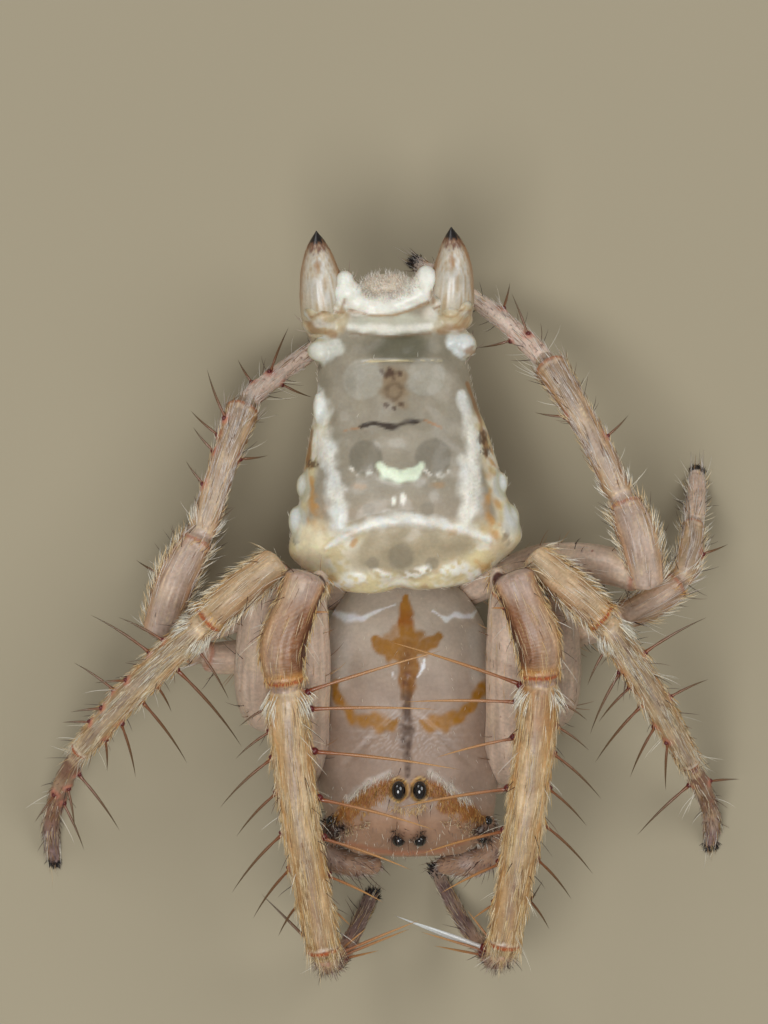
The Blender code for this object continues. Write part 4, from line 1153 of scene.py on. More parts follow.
def grow_leg_coat(leg, item, looks):
    kind = leg.kind
    front = kind in ("leg1", "leg2")
    seed = int(leg.outward) + int(kind[-1]) * 10
    fine, long = Coat(seed, HAIR_TAPER), Coat(90 + seed, LONG_TAPER)
    on_skin = Skin(leg, places_of(item))
    part, out = on_skin.part, np.abs(on_skin.aside)
    count = HAIR_SHARE[kind]
    # Fine pale lines of hair along the skin
    streaks = 0.15 + rise(ripple(on_skin.grain(), 0.055, 14), -0.1, 0.9)
    lines = np.array((0.02, 0.02, 0.12 if kind == "leg1" else 0.3, 1.0,
                      0.2 if front else 0.7))[part] * streaks
    add_hairs(fine, leg, item, lines, count, (0.22, 0.42), (0.004, 0.007), (1, 4), 3, LINES[kind],
              (0.01, 0.06))
    browner = np.array((0.02, 0.04, 0.15, 0.7, 1.0))[part] * streaks
    add_hairs(fine, leg, item, browner, count // 3, (0.12, 0.26), (0.006, 0.009), (1, 6), 5, FUR_BROWN,
              (0.01, 0.06))
    # White tufts at the root of the shin
    tuft = (part == TIBIA) * bell(on_skin.run, 0.12, 0.10) * rise(out, 0.3, 0.7)
    add_hairs(fine, leg, item, tuft, 150 if front else 30, (0.18, 0.30), (0.008, 0.012), (4, 20), 8,
              FUR_WHITE)
    # Fringes along the edges of knee and shin, and over the knee's far rim
    edge = np.isin(part, (PATELLA, TIBIA)) * rise(out, 0.75, 0.98)
    add_hairs(fine, leg, item, edge, count // 4, (0.12, 0.22), (0.007, 0.010), (4, 20), 8, FRINGE[kind])
    rim = (part == PATELLA) * bell(on_skin.left, 0.08, 0.07)
    add_hairs(fine, leg, item, rim, 90 if front else 30, (0.08, 0.16), (0.007, 0.010), (4, 22), 16, FUR_GOLD)
    if kind != "leg1":
        outside = (PATELLA, TIBIA, FOOT) if kind == "leg3" else (PATELLA,)
        shaggy = np.isin(part, outside) * rise(out, 0.7, 0.95)
        add_hairs(fine, leg, item, shaggy, 160, (0.16, 0.30), (0.008, 0.011), (14, 38), 12,
                  FUR_PALE + FUR_WHITE)
    # The toe: short dark hairs, and a black tip
    toe = (part == FOOT) * rise(on_skin.share, 0.1, 0.5)
    toe_tones = FUR_DARK + FUR_MAUVE if front else FUR_SILVER + FUR_PALE + FUR_MAUVE
    add_hairs(fine, leg, item, toe, count // 8, (0.06, 0.13), (0.005, 0.008), (8, 30), 12, toe_tones)
    if kind == "leg1":
        stub = (part == FOOT) * rise(0.30 - on_skin.share, 0.0, 0.12)
        add_hairs(fine, leg, item, stub, 260, (0.08, 0.20), (0.004, 0.006), (25, 65), 20,
                  FUR_MAUVE + FUR_DARK)
    tip = (part == FOOT) * rise(on_skin.share, 0.94, 1.0)
    add_hairs(fine, leg, item, tip, 90, (0.05, 0.11), (0.009, 0.013), (10, 45), 20, FUR_BLACK)
    # Longer bristles
    outer = np.isin(part, (PATELLA, TIBIA, FOOT)) * rise(out, 0.2, 0.9)
    add_hairs(long, leg, item, outer, 40, (0.14, 0.36), (0.008, 0.012), (32, 60), 14, FUR_DARK)
    thigh = (part == FEMUR) * rise(out, 0.2, 0.9)
    add_hairs(long, leg, item, thigh, 22, (0.16, 0.34), (0.009, 0.012), (40, 65), 16, FUR_DARK + FUR_BROWN)
    add_hairs(long, leg, item, outer, 24, (0.26, 0.50), (0.006, 0.008), (35, 60), 16, FUR_WHITE)
    fine.build(f"coat_{leg.name}", looks["hair"], "leg_skin")
    long.build(f"bristles_{leg.name}", looks["hair"], "leg_skin")


def add_hairs(coat, leg, item, weight, count, length, width, lift, stray, tones, arch=(0.1, 0.35)):
    roots, normals = scatter(item, count, coat.chance, weight)
    skin = Skin(leg, roots)
    paint = blend_tones(coat.chance, count, tones)
    coat.add(roots, normals, skin.ways, skin.patches(), length, width, lift, stray, arch,
             (paint, paint * 1.1))


# Bodies
def arched(stations, shares, turns, axis, across, origin):
    """Places on a body form: a flattened arch over its rim and a narrower keel below it."""
    inner = np.clip((shares - END_SHARE) / (1 - 2 * END_SHARE), 0, 1)
    first = np.clip(shares / END_SHARE, 0, 1)
    last = np.clip((1 - shares) / END_SHARE, 0, 1)
    closing = np.sin(np.minimum(first, last) * math.pi / 2)
    reach = END_REACH * (np.cos(last * math.pi / 2) - np.cos(first * math.pi / 2))
    run, middle, half_width, top, rim, belly = along(stations, inner).T
    side = np.cos(turns)
    lift = np.sin(turns)
    above = lift >= 0
    power = np.where(above, ARCH_SIDE, KEEL_SIDE)
    out = np.sign(side) * np.abs(side) ** power * half_width * closing
    high = np.where(above, (top - rim) * np.abs(lift) ** ARCH_CROWN, -(rim - belly) * np.abs(lift)) * closing
    places = origin + axis * (run + reach * np.sign(stations[-1][0] - stations[0][0]))[:, None]
    places = places + across * (middle + out)[:, None]
    places[:, 2] += rim + high
    return places


def abdomen_form(shares, turns):
    stations = [(back, 0.0, *rest) for back, *rest in ABDOMEN_STATIONS]
    axis = np.array((-math.sin(ABDOMEN_YAW), math.cos(ABDOMEN_YAW), 0))
    across = np.array((math.cos(ABDOMEN_YAW), math.sin(ABDOMEN_YAW), 0))
    return arched(stations, shares, turns, axis, across, waist((ABDOMEN_FRONT_X, ABDOMEN_FRONT_Y, 0)))


def thorax_form(shares, turns):
    return arched(THORAX_STATIONS, shares, turns, np.array((0, 1.0, 0)), np.array((1.0, 0, 0)),
                  waist((0, 0, 0)))


def mirrored(place, side):
    return waist((HEAD_MIDDLE + side * place[0], place[1], place[2]))


def sided(run, side):
    return np.array([mirrored(place, side) for place in run])


def strokes(places, paths, soft=0.4, wobble=0.0, seed=1):
    """1 on any of several painted lines."""
    best = np.zeros(len(places))
    for i, path in enumerate(paths):
        best = np.maximum(best, stroke(places, path, soft, wobble, seed + i))
    return best


def blots(places, ovals, soft=0.3, wobble=0.12, seed=1):
    best = np.zeros(len(places))
    for i, oval in enumerate(ovals):
        best = np.maximum(best, blot(places, *oval, soft=soft, wobble=wobble, seed=seed + i))
    return best


# The abdomen's marks: lines of px, py and width, and ovals of px, py and radii
SIDE_WHITES = (
    ((318, 392, 9), (321, 405, 14), (322, 422, 13)), ((320, 434, 17), (325, 446, 20), (329, 460, 14)),
    ((331, 466, 10), (334, 485, 14), (337, 505, 17), (340, 524, 13)),
    ((462, 394, 8), (467, 412, 11), (470, 428, 10)), ((471, 432, 13), (475, 444, 14), (473, 456, 15)),
    ((469, 462, 16), (471, 482, 20), (470, 502, 20), (467, 522, 15)),
)
FRONT_WHITES = (
    ((335, 586, 9), (350, 580, 11), (363, 578, 6)), ((376, 571, 5), (390, 576, 6)),
    ((407, 575, 8), (418, 572, 10), (429, 569, 7)),
    ((446, 571, 11), (462, 570, 18), (481, 578, 11)), ((296, 566, 10), (316, 575, 9)),
)
ARC = ((326, 548, 4), (346, 535, 9), (369, 524, 11), (399, 518, 12), (436, 523, 11), (462, 530, 9),
       (489, 540, 5))
KNOB_WHITES = (
    (322, 351, 16, 13), (334, 348, 11, 9), (464, 345, 12, 14), (455, 341, 9, 10), (303, 486, 8, 15),
    (295, 522, 10, 18),
    (502, 484, 9, 15), (512, 519, 10, 18),
)
ROLL_WHITES = (
    ((345, 279, 18), (348, 292, 31), (358, 303, 25), (373, 306, 18), (389, 305, 17), (405, 301, 19),
     (419, 290, 31),
     (426, 279, 22), (428, 268, 16)),
)
MARGIN_OCHRES = (
    ((309, 440, 7), (307, 470, 10), (312, 500, 15), (315, 535, 18)),
    ((486, 392, 5), (492, 440, 10), (494, 470, 13)),
    ((490, 495, 13), (498, 540, 14)), ((322, 585, 8), (345, 590, 8)), ((480, 566, 9), (495, 569, 10)),
    ((352, 545, 5), (362, 530, 5)), ((452, 528, 6), (470, 533, 5)),
)
MARGIN_BROWNS = (
    ((312, 430, 2.6), (310, 448, 3), (308, 466, 4)),
    ((467, 384, 3), (475, 406, 3.6), (481, 424, 4.2), (484, 438, 4.4), (486, 456, 3.6)),
)
DARK_SPOTS = (
    (312, 464, 6, 4), (483, 439, 4, 7), (486, 451, 4, 5), (506, 538, 4, 7), (296, 540, 3, 4),
    (479, 395, 2.5, 4),
    (310, 367, 3, 7), (318, 366, 4, 3),
)
SADDLE_STAINS = (
    ((304, 318, 4), (313, 331, 7), (335, 335, 5)), ((470, 312, 4), (462, 327, 7), (440, 331, 5)),
    ((341, 311, 4), (345, 300, 3)), ((433, 303, 4), (431, 292, 3)),
    ((311, 318, 2), (328, 311, 2), (343, 314, 2)),
    ((463, 312, 2), (448, 305, 2), (434, 309, 2)),
)
RUMP_LINES = (((350, 311, 3), (372, 316, 2.6), (392, 316, 2.2), (410, 311, 2.6), (428, 303, 3)),)
PLATE_EDGE = ((350, 334, 2), (390, 337, 2.4), (430, 334, 2))
WAIST_LINE = ((357, 363, 1.4), (378, 362, 1.6), (418, 361, 1.6), (441, 361, 1.2))
PITS = (
    (363, 380, 20, 20), (425.5, 378, 19, 19), (365.7, 458, 17, 17), (433, 457, 18, 18),
    (401, 556, 13, 13), (369, 509, 6, 6), (427, 509, 7, 7), (373, 563, 7, 6), (432, 563, 7, 6),
)
CRESCENTS = (((351, 468, 3), (361, 475, 6), (375, 472, 3)), ((424, 470, 3), (436, 477, 7), (451, 469, 4)))
SLIT = ((361, 427, 2), (375, 424, 4), (385, 425, 5), (393, 427.5, 6.5), (400, 425, 5.6), (412, 423, 4.4),
        (424, 421, 2))
SLIT_ENDS = (((345, 431, 1.6), (363, 427, 2.4)), ((424, 420, 2.4), (441, 428, 1.6)))
BAR = ((380, 467, 8), (386, 474, 12), (400, 477, 13), (414, 474, 12), (421, 467, 8))
WHITE_DOTS = (
    (393.5, 501, 2.2, 4.6), (403, 499, 2.6, 6.2),
)
ABDOMEN_LINE = 400
ORANGE_SPOTS = ((360, 487, 7, 3), (438, 485, 7, 3), (352, 533, 6, 3), (452, 532, 7, 3))

# Colours of the abdomen
GROUND = tone(156, 147, 128)
MILK = tone(240, 238, 226)
BLUISH = tone(214, 222, 224)
CREAM = tone(226, 212, 166)
OCHRE = tone(190, 150, 92)
STAIN = tone(152, 108, 62)
DARK_BROWN = tone(78, 50, 28)
PIT_GREY = tone(132, 124, 106)
LENS_GREY = tone(184, 170, 140)
GREENISH = tone(98, 94, 72)


def upper(normals):
    return rise(normals[:, 2], 0.05, 0.45)


def side_whites(places):
    powder = 1 + 0.15 * ripple(places, 0.035, 30)
    return (strokes(places, SIDE_WHITES, 0.75, 0.28, 31) * powder).clip(0, 1)


def abdomen_relief(places, normals):
    """Lumps, rims, pits and creases of the abdomen, in millimetres along its normals."""
    lumps = 0.75 + 0.25 * ripple(places, 0.11, 3)
    height = side_whites(places) * 0.022 * lumps
    height += strokes(places, FRONT_WHITES, 0.7, 0.2, 41) * 0.024 * lumps
    height += stroke(places, ARC, 0.7, 0.1) * 0.030
    height += stroke(places, BAR, 0.5, 0.1) * 0.012
    height -= blots(places, PITS[:5], 0.12, 0.0) * 0.006
    height -= stroke(places, SLIT, 0.6, 0.2) * 0.007
    height -= strokes(places, RUMP_LINES + (PLATE_EDGE, WAIST_LINE), 0.8) * 0.020
    height -= strokes(places, SADDLE_STAINS, 0.7) * 0.012
    height += ripple(places, 0.22, 7) * 0.010
    return height * upper(normals) + ripple(places, 0.35, 8) * 0.008


def abdomen_paint(places, normals):
    """A glassy grey back between lumpy white, ochre and cream margins, with painted shade under the flanks.
    """
    across, down = marks(places)
    cloud = ripple(places, 0.30, 21)
    fine = ripple(places, 0.06, 22)
    flank = lay(np.tile(tone(196, 178, 146), (len(places), 1)), MILK,
                rise(cloud + fine * 0.5, 0.3, 1.0) * 0.6)
    flank = lay(flank, OCHRE, rise(ripple(places, 0.28, 23) + fine * 0.4, 0.5, 1.3) * 0.6)
    # The front corners' real cream, painted brighter than the cream itself to offset the shade on their
    # down-facing slope: real colour and painted light
    corner = rise(down, 525, 550)
    flank = layers(
        flank,
        (tone(246, 234, 196), corner * (0.95 + 0.1 * cloud).clip(0, 1)),
        (tone(206, 170, 104), corner * rise(ripple(places, 0.12, 29) + fine * 0.4, 1.0, 1.6) * 0.4),
        # Painted shade: the flank darkens to brown where it faces down
        (tone(150, 128, 104), rise(-normals[:, 2], 0.2, 0.9) * 0.7),
    )
    paint = np.tile(GROUND, (len(places), 1))
    paint = lay(paint, tone(182, 172, 156), rise(cloud, -0.2, 1.2) * 0.25)
    paint = lay(paint, tone(176, 160, 138), rise(down, 480, 520) * 0.6)
    wedge = blot(places, 405, 549, 58, 27, 0, 0.25, 0.15, 25)
    front = rise(down + np.abs(across - ABDOMEN_LINE) * 0.10, 520, 548) * (1 - wedge)
    paint = layers(
        paint,
        (CREAM, front * 0.95),
        (MILK, front * rise(cloud + fine * 0.4, -0.2, 0.9) * 0.7),
        (OCHRE, front * rise(ripple(places, 0.2, 26) + fine * 0.3, 0.6, 1.4) * 0.6),
    )
    # The margins beside the white bands
    margin = rise(np.abs(across - ABDOMEN_LINE - (down - 450) * 0.02), 62 + (down - 400) * 0.25,
                  72 + (down - 400) * 0.25)
    margin = margin * rise(down, 400, 425)
    paint = layers(
        paint,
        (CREAM, margin * 0.85),
        (MILK, margin * rise(ripple(places, 0.16, 27), 0.0, 0.8) * 0.7),
        (LENS_GREY, rise(down, 522, 530) * wedge * 0.85),
        # The dark wedge and the bands behind it
        (tone(134, 126, 104), blot(places, 400, 348, 58, 16, 0, 0.4) * 0.8),
        (GREENISH, blot(places, 401, 347, 27, 15, 0, 0.45) * 0.95),
        # The margins' stains, their white bands and their spots
        (tone(198, 150, 84),
         strokes(places, MARGIN_OCHRES, 0.8, 0.5, 51) * rise(ripple(places, 0.09, 52), -1.0, 0.6) * 0.85),
        (MILK * 0.97, side_whites(places) * 0.95),
        (BLUISH, side_whites(places) * rise(cloud, -0.4, 0.8) * 0.4),
        (MILK, strokes(places, FRONT_WHITES, 0.6, 0.5, 41) * rise(fine, -1.1, 0.0) * 0.95),
        (MILK * 0.96, stroke(places, ARC, 0.85, 0.3, 61) * 0.9),
        (BLUISH, stroke(places, ARC, 0.6, 0.2, 61) * rise(fine, -0.6, 0.8) * 0.4),
        (STAIN, strokes(places, MARGIN_BROWNS, 0.6, 0.3, 62) * 0.85),
        (DARK_BROWN, blots(places, DARK_SPOTS, 0.5, 0.4, 63) * 0.8),
        # Pits, the slit, the bar and the small marks
        (tone(180, 176, 162), blots(places, PITS[:2], 0.08, 0.02) * 0.5),
        (PIT_GREY, blots(places, PITS[2:4], 0.10, 0.02) * 0.9),
        (PIT_GREY, blots(places, PITS[4:], 0.2, 0.05) * 0.5),
        (MILK, strokes(places, CRESCENTS, 0.9, 0.2, 64) * rise(fine, -0.5, 0.7) * 0.8),
        (tone(144, 120, 86), blot(places, 394, 388, 13, 18, 0, 0.35, 0.25, 65) * 0.75),
    )
    ring = blot(places, 394, 392, 9, 9, 0, 0.25, 0.15, 66) - blot(places, 394, 392, 5.5, 5.5, 0, 0.3, 0.1, 67)
    paint = layers(
        paint,
        (tone(110, 88, 62), ring * 0.7),
        (DARK_BROWN, blot(places, 391, 374, 9, 4, 0, 0.5, 0.5, 68) * 0.9),
        (DARK_BROWN,
         blots(places, ((387, 406, 3, 2.4), (401, 405, 3, 2.4), (394, 409, 2, 2)), 0.4, 0.3, 69) * 0.8),
        (tone(186, 124, 62), strokes(places, SLIT_ENDS, 0.7, 0.2, 70) * 0.6),
        (tone(64, 50, 36), stroke(places, SLIT, 0.6, 0.8, 71)),
        (tone(228, 240, 214), stroke(places, BAR, 0.4, 0.2, 72) * 0.95),
        (MILK, blots(places, WHITE_DOTS, 0.4, 0.12, 73) * 0.95),
        (tone(184, 146, 98), blots(places, ORANGE_SPOTS, 0.6, 0.3, 74) * 0.5),
        (tone(220, 204, 160), stroke(places, WAIST_LINE, 0.6, 0.1) * 0.8),
    )
    # The knobs, the saddles of the horns, the plate and the white roll
    saddles = blots(places, ((324, 320, 26, 18), (451, 316, 26, 18)), 0.2, 0.05)
    paint = layers(
        paint,
        (tone(200, 184, 150), saddles * 0.95),
        (tone(168, 130, 82), saddles * bell(ripple(places, 0.16, 28), 0.2, 0.28) * 0.55),
        (tone(226, 224, 214), saddles * rise(ripple(places, 0.14, 29), 0.0, 1.0) * 0.6),
        (tone(196, 194, 174), blot(places, 390, 323, 44, 11, 0, 0.3, 0.10) * 0.95),
        (MILK, stroke(places, ((350, 327, 6), (390, 330, 8), (430, 327, 6)), 0.8, 0.3) * 0.8),
        (tone(214, 200, 180), blot(places, 388, 286, 30, 14, 0, 0.3) * 0.95),
        (MILK, strokes(places, ROLL_WHITES, 0.22, 0.06, 75)),
    )
    knobs = blots(places, KNOB_WHITES, 0.25, 0.1, 76)
    paint = layers(
        paint,
        (tone(214, 214, 202), knobs * 0.9),
        (BLUISH, knobs * rise(cloud, -0.3, 0.7) * 0.5),
        (tone(196, 190, 140), knobs * rise(normals[:, 2] * -1, -0.75, -0.3) * 0.6),
        (STAIN, blot(places, 471, 352, 8, 5, 0, 0.5, 0.3) * 0.7),
        (STAIN, strokes(places, SADDLE_STAINS, 0.9, 0.4, 77) * 0.6),
        (tone(172, 132, 84), strokes(places, RUMP_LINES, 0.8, 0.3, 78) * 0.7),
        (tone(146, 108, 66), stroke(places, PLATE_EDGE, 0.9, 0.4, 79) * 0.4),
    )
    paint = lay(flank, paint, rise(normals[:, 2], -0.15, 0.25))
    # The left front corner's cream, lifted further as painted light against the shadow the knees cast there
    paint = lay(paint, tone(252, 242, 208),
                blot(places, 311, 554, 15, 26, 0, 0.5, 0.2, 88) * (0.85 + 0.15 * cloud).clip(0, 1))
    paint = lay(paint, tone(240, 226, 190), blot(places, 505, 556, 12, 24, 0, 0.5, 0.2, 89) * 0.6)
    tail = waist(SPINNERET_RUN)
    below = rise(places[:, 1], tail[0, 1] - 0.1, tail[1, 1]) * rise(tail[0, 2] + 0.1 - places[:, 2], 0.0, 0.2)
    paint = lay(paint, tone(172, 146, 116), below * 0.85)
    return lay(paint, tone(116, 90, 70), below * rise(tail[2, 2] - places[:, 2], 0.1, 0.3) * 0.7)


def build_abdomen(looks):
    items = [draw_form("abdomen_form", abdomen_form)]
    for px, py, height, *radii in RUMP_KNOBS + RUMP_BULBS + SIDE_KNOBS:
        items.append(draw_ball("knob", seen(px, py, height), radii))
    run = [seen(*knot) for knot in RUMP_RUN]
    items.append(draw_run("roll", run, RUMP_WIDTHS))
    items += spinneret_forms()
    item = fuse("abdomen_skin", items, BODY_VOXEL)
    places, normals = places_of(item), normals_of(item)
    across, down = marks(places)
    notch = bell(across, 401, 13) * rise(down, 570, 588) * rise(places[:, 2], 2.2, 2.6)
    places[:, 1] += notch * 0.07
    put(item, places + normals * abdomen_relief(places, normals)[:, None])
    places, normals = places_of(item), normals_of(item)
    note(item, "paint", abdomen_paint(places, normals))
    grow_abdomen_coat(item, looks)
    finish_piece(item, "skin_abdomen", looks["abdomen"], "abdomen_skin", "abdomen", "spinnerets")


def spinneret_forms():
    items = [draw_run("spinneret_base", waist(SPINNERET_RUN), SPINNERET_WIDTHS)]
    tip, before = waist(SPINNERET_RUN[-1]), waist(SPINNERET_RUN[-2])
    way = unit(tip - before)
    for i in range(FINGERS):
        turn = 2 * math.pi * (i + 0.5) / FINGERS
        aside = np.array((math.cos(turn), 0, math.sin(turn)))
        run = (tip + aside * 0.07, tip + aside * FINGER_SPREAD * 0.9 + way * FINGER_REACH * 0.5,
               tip + aside * FINGER_SPREAD + way * FINGER_REACH)
        items.append(draw_run("finger", run, (0.13, 0.13, 0.07), 8, 4))
    return items


def body_patches(places, centre, reach):
    """Places on a body's unwrap: round it and from end to end."""
    turn = np.arctan2(places[:, 0] - centre[0], places[:, 2] - centre[2]) / (2 * math.pi) + 0.5
    run = (places[:, 1] - centre[1]) / reach + 0.5
    return on_map(turn, run.clip(0, 1))


def grow_abdomen_coat(item, looks):
    coat = Coat(301, HAIR_TAPER)
    places, normals = places_of(item), normals_of(item)
    centre, reach = seen(ABDOMEN_LINE, 430, 2.4), 5.0
    fuzz = blot(places, 388, 286, 30, 15, 0, 0.3, 0.0) * upper(normals)
    tail = np.array((0, 1.0, 0.0))
    grow_patch(coat, item, fuzz, 650, tail, (0.06, 0.12), (0.004, 0.006), (35, 80), 40,
               FUR_SILVER + FUR_WHITE, centre, reach)
    down = rise(-normals[:, 2], -0.35, 0.1) + 0.02
    grow_patch(coat, item, down, 1100, tail, (0.05, 0.10), (0.005, 0.007), (12, 30), 18,
               FUR_WHITE + FUR_GREY[2:], centre, reach)
    rear = rise(places[:, 1], 3.2, 3.8) * rise(-normals[:, 2], -0.3, 0.5)
    grow_patch(coat, item, rear, 500, tail, (0.10, 0.22), (0.008, 0.011), (20, 55), 25, FUR_GREY, centre,
               reach)
    coat.build("coat_abdomen", looks["hair"], "abdomen_skin")


def grow_patch(coat, item, weight, count, flow, length, width, lift, stray, tones, centre, reach):
    """Hairs on one part of a body, all following one flow."""
    roots, normals = scatter(item, count, coat.chance, weight)
    flow = np.broadcast_to(flow, roots.shape) if np.ndim(flow) == 1 else flow
    paint = blend_tones(coat.chance, count, tones)
    patches = body_patches(roots, centre, reach)
    coat.add(roots, normals, flow, patches, length, width, lift, stray, (0.05, 0.3), (paint, paint * 1.08))


def horn_places(places, run):
    """How far along a horn each place is, and the horn's middle there."""
    share = ((places - run[0]) @ unit(run[-1] - run[0])) / np.linalg.norm(run[-1] - run[0])
    return share, along(run, share.clip(0, 1))


def horn_paint(places, run, tip):
    """Milky with fine lengthwise lines, brown edges and a black point."""
    share, centre = horn_places(places, run)
    aside = (places - centre)[:, 0] / (along(HORN_WIDTHS, share.clip(0, 1)) / 2 + 0.01)
    paint = np.tile(tone(196, 186, 166), (len(places), 1))
    lined = np.stack([places[:, 0] - centre[:, 0], places[:, 2] - centre[:, 2], share * 0.02], axis=1)
    lines = ripple(lined, 0.018, 81)
    paint = layers(
        paint,
        (tone(218, 220, 218), rise(lines, -0.3, 0.8) * bell(aside, 0.1, 0.75) * 0.55),
        (tone(170, 136, 92), rise(-lines, 0.2, 1.1) * (0.5 + 0.3 * rise(0.5 - share, 0, 0.3))),
        (tone(156, 104, 50), bell(np.abs(aside), 1.0, 0.17) * 0.85),
        (tone(164, 118, 70), blot(places, *tip, 2.6, 7, 0, 0.7, 0.3, 82) * 0.65),
        (tone(112, 66, 34), rise(share + lines * 0.035, 0.80, 0.89) * 0.9),
        (tone(22, 15, 12), rise(share + lines * 0.012, 0.895, 0.93)),
    )
    return lay(paint, tone(198, 180, 144), rise(0.46 - share, 0, 0.24) * (0.7 + 0.2 * lines).clip(0, 1))


def build_horns(looks):
    for name, spot_at in (("right", (317, 267)), ("left", (452, 262))):
        run = np.array([seen(*knot) for knot in HORN_RUNS[name]])
        horn = draw_run("horn", run, HORN_WIDTHS, 60, 14)
        choose(horn)
        subdivide = horn.modifiers.new("Rounder", "SUBSURF")
        subdivide.levels = subdivide.render_levels = 1
        apply_all(horn)
        places = places_of(horn)
        share, centre = horn_places(places, run)
        lined = np.stack([places[:, 0] - centre[:, 0], places[:, 2] - centre[:, 2], share * 0.07], axis=1)
        put(horn, places + normals_of(horn) * (ripple(lined, 0.024, 81) * 0.002 * (share < 0.92))[:, None])
        note(horn, "paint", horn_paint(places_of(horn), run, spot_at))
        finish_piece(horn, f"horn_shell_{name}", looks["horn"], "horn", f"horn_{name}")


# The carapace's marks
CROSS = (
    ((406, 597, 5), (406, 606, 10), (405, 615, 12), (404, 623, 13), (406, 633, 15)),
    ((407, 631, 18), (406, 645, 33), (407, 655, 30), (406, 664, 26), (407, 675, 20), (408, 685, 16),
     (407, 695, 11)),
    ((407, 695, 11), (407, 704, 9), (407, 713, 7)),
    ((376, 639, 9), (381, 646, 15), (390, 651, 18), (400, 651, 20)),
    ((438, 636, 7), (432, 642, 12), (422, 648, 16), (412, 650, 20)),
)
TUSKS = (
    ((334, 686, 9), (338, 697, 10), (344, 709, 10), (354, 717, 13), (367, 720, 15), (381, 724, 17),
     (391, 726, 11), (397, 721, 5)),
    ((484, 688, 9), (477, 699, 11), (470, 709, 10), (460, 717, 12), (448, 719, 15), (436, 724, 17),
     (427, 726, 11), (421, 721, 5)),
)
MEDIAN = ((406, 708, 8), (406, 722, 12), (407, 738, 11), (407, 756, 8), (408, 776, 4))
ROOF = (
    ((392, 785, 11), (376, 793, 18), (362, 803, 20), (348, 812, 17), (335, 820, 8)),
    ((427, 786, 11), (441, 796, 18), (455, 806, 20), (468, 813, 16), (481, 819, 8)),
)
FURROWS = (
    ((398, 716, 5), (370, 740, 6), (345, 765, 6)), ((416, 716, 5), (445, 740, 6), (472, 765, 6)),
)
# Strips above the roofs where pale glints are painted and white hairs grow
ROOF_GLINTS = (((390, 772, 4), (368, 783, 6), (348, 798, 5)), ((430, 772, 4), (450, 787, 6), (470, 803, 5)))
LIP_LINE = ((346, 844, 5), (376, 852, 5), (409, 855, 5), (440, 851, 5), (466, 842, 5))
REAR_EYES = ((398.4, 790), (419.6, 790))
FRONT_EYES = ((399.2, 841), (419.4, 841))
TUBERCLES = ((333, 832), (486, 834))
CARAPACE_GROUND = tone(178, 160, 144)
CROSS_OCHRE = tone(158, 106, 0)
ROOF_BROWN = tone(156, 96, 38)


def thorax_relief(places, normals):
    across, down = marks(places)
    height = ripple(places, 0.4, 91) * 0.012
    height -= stroke(places, ((407, 680, 6), (407, 725, 10)), 1.0) * 0.030 * upper(normals)
    for px, py in REAR_EYES:
        reach = np.hypot((across - px) / 10.5, (down - py) / 12.5)
        height += bell(reach, 1.0, 0.22) * 0.022 * upper(normals)
    height += strokes(places, ROOF, 0.8) * 0.014 * upper(normals)
    # A shallow furrow on each side parts the head from the thorax
    return height - strokes(places, FURROWS, 0.9) * 0.018 * upper(normals)


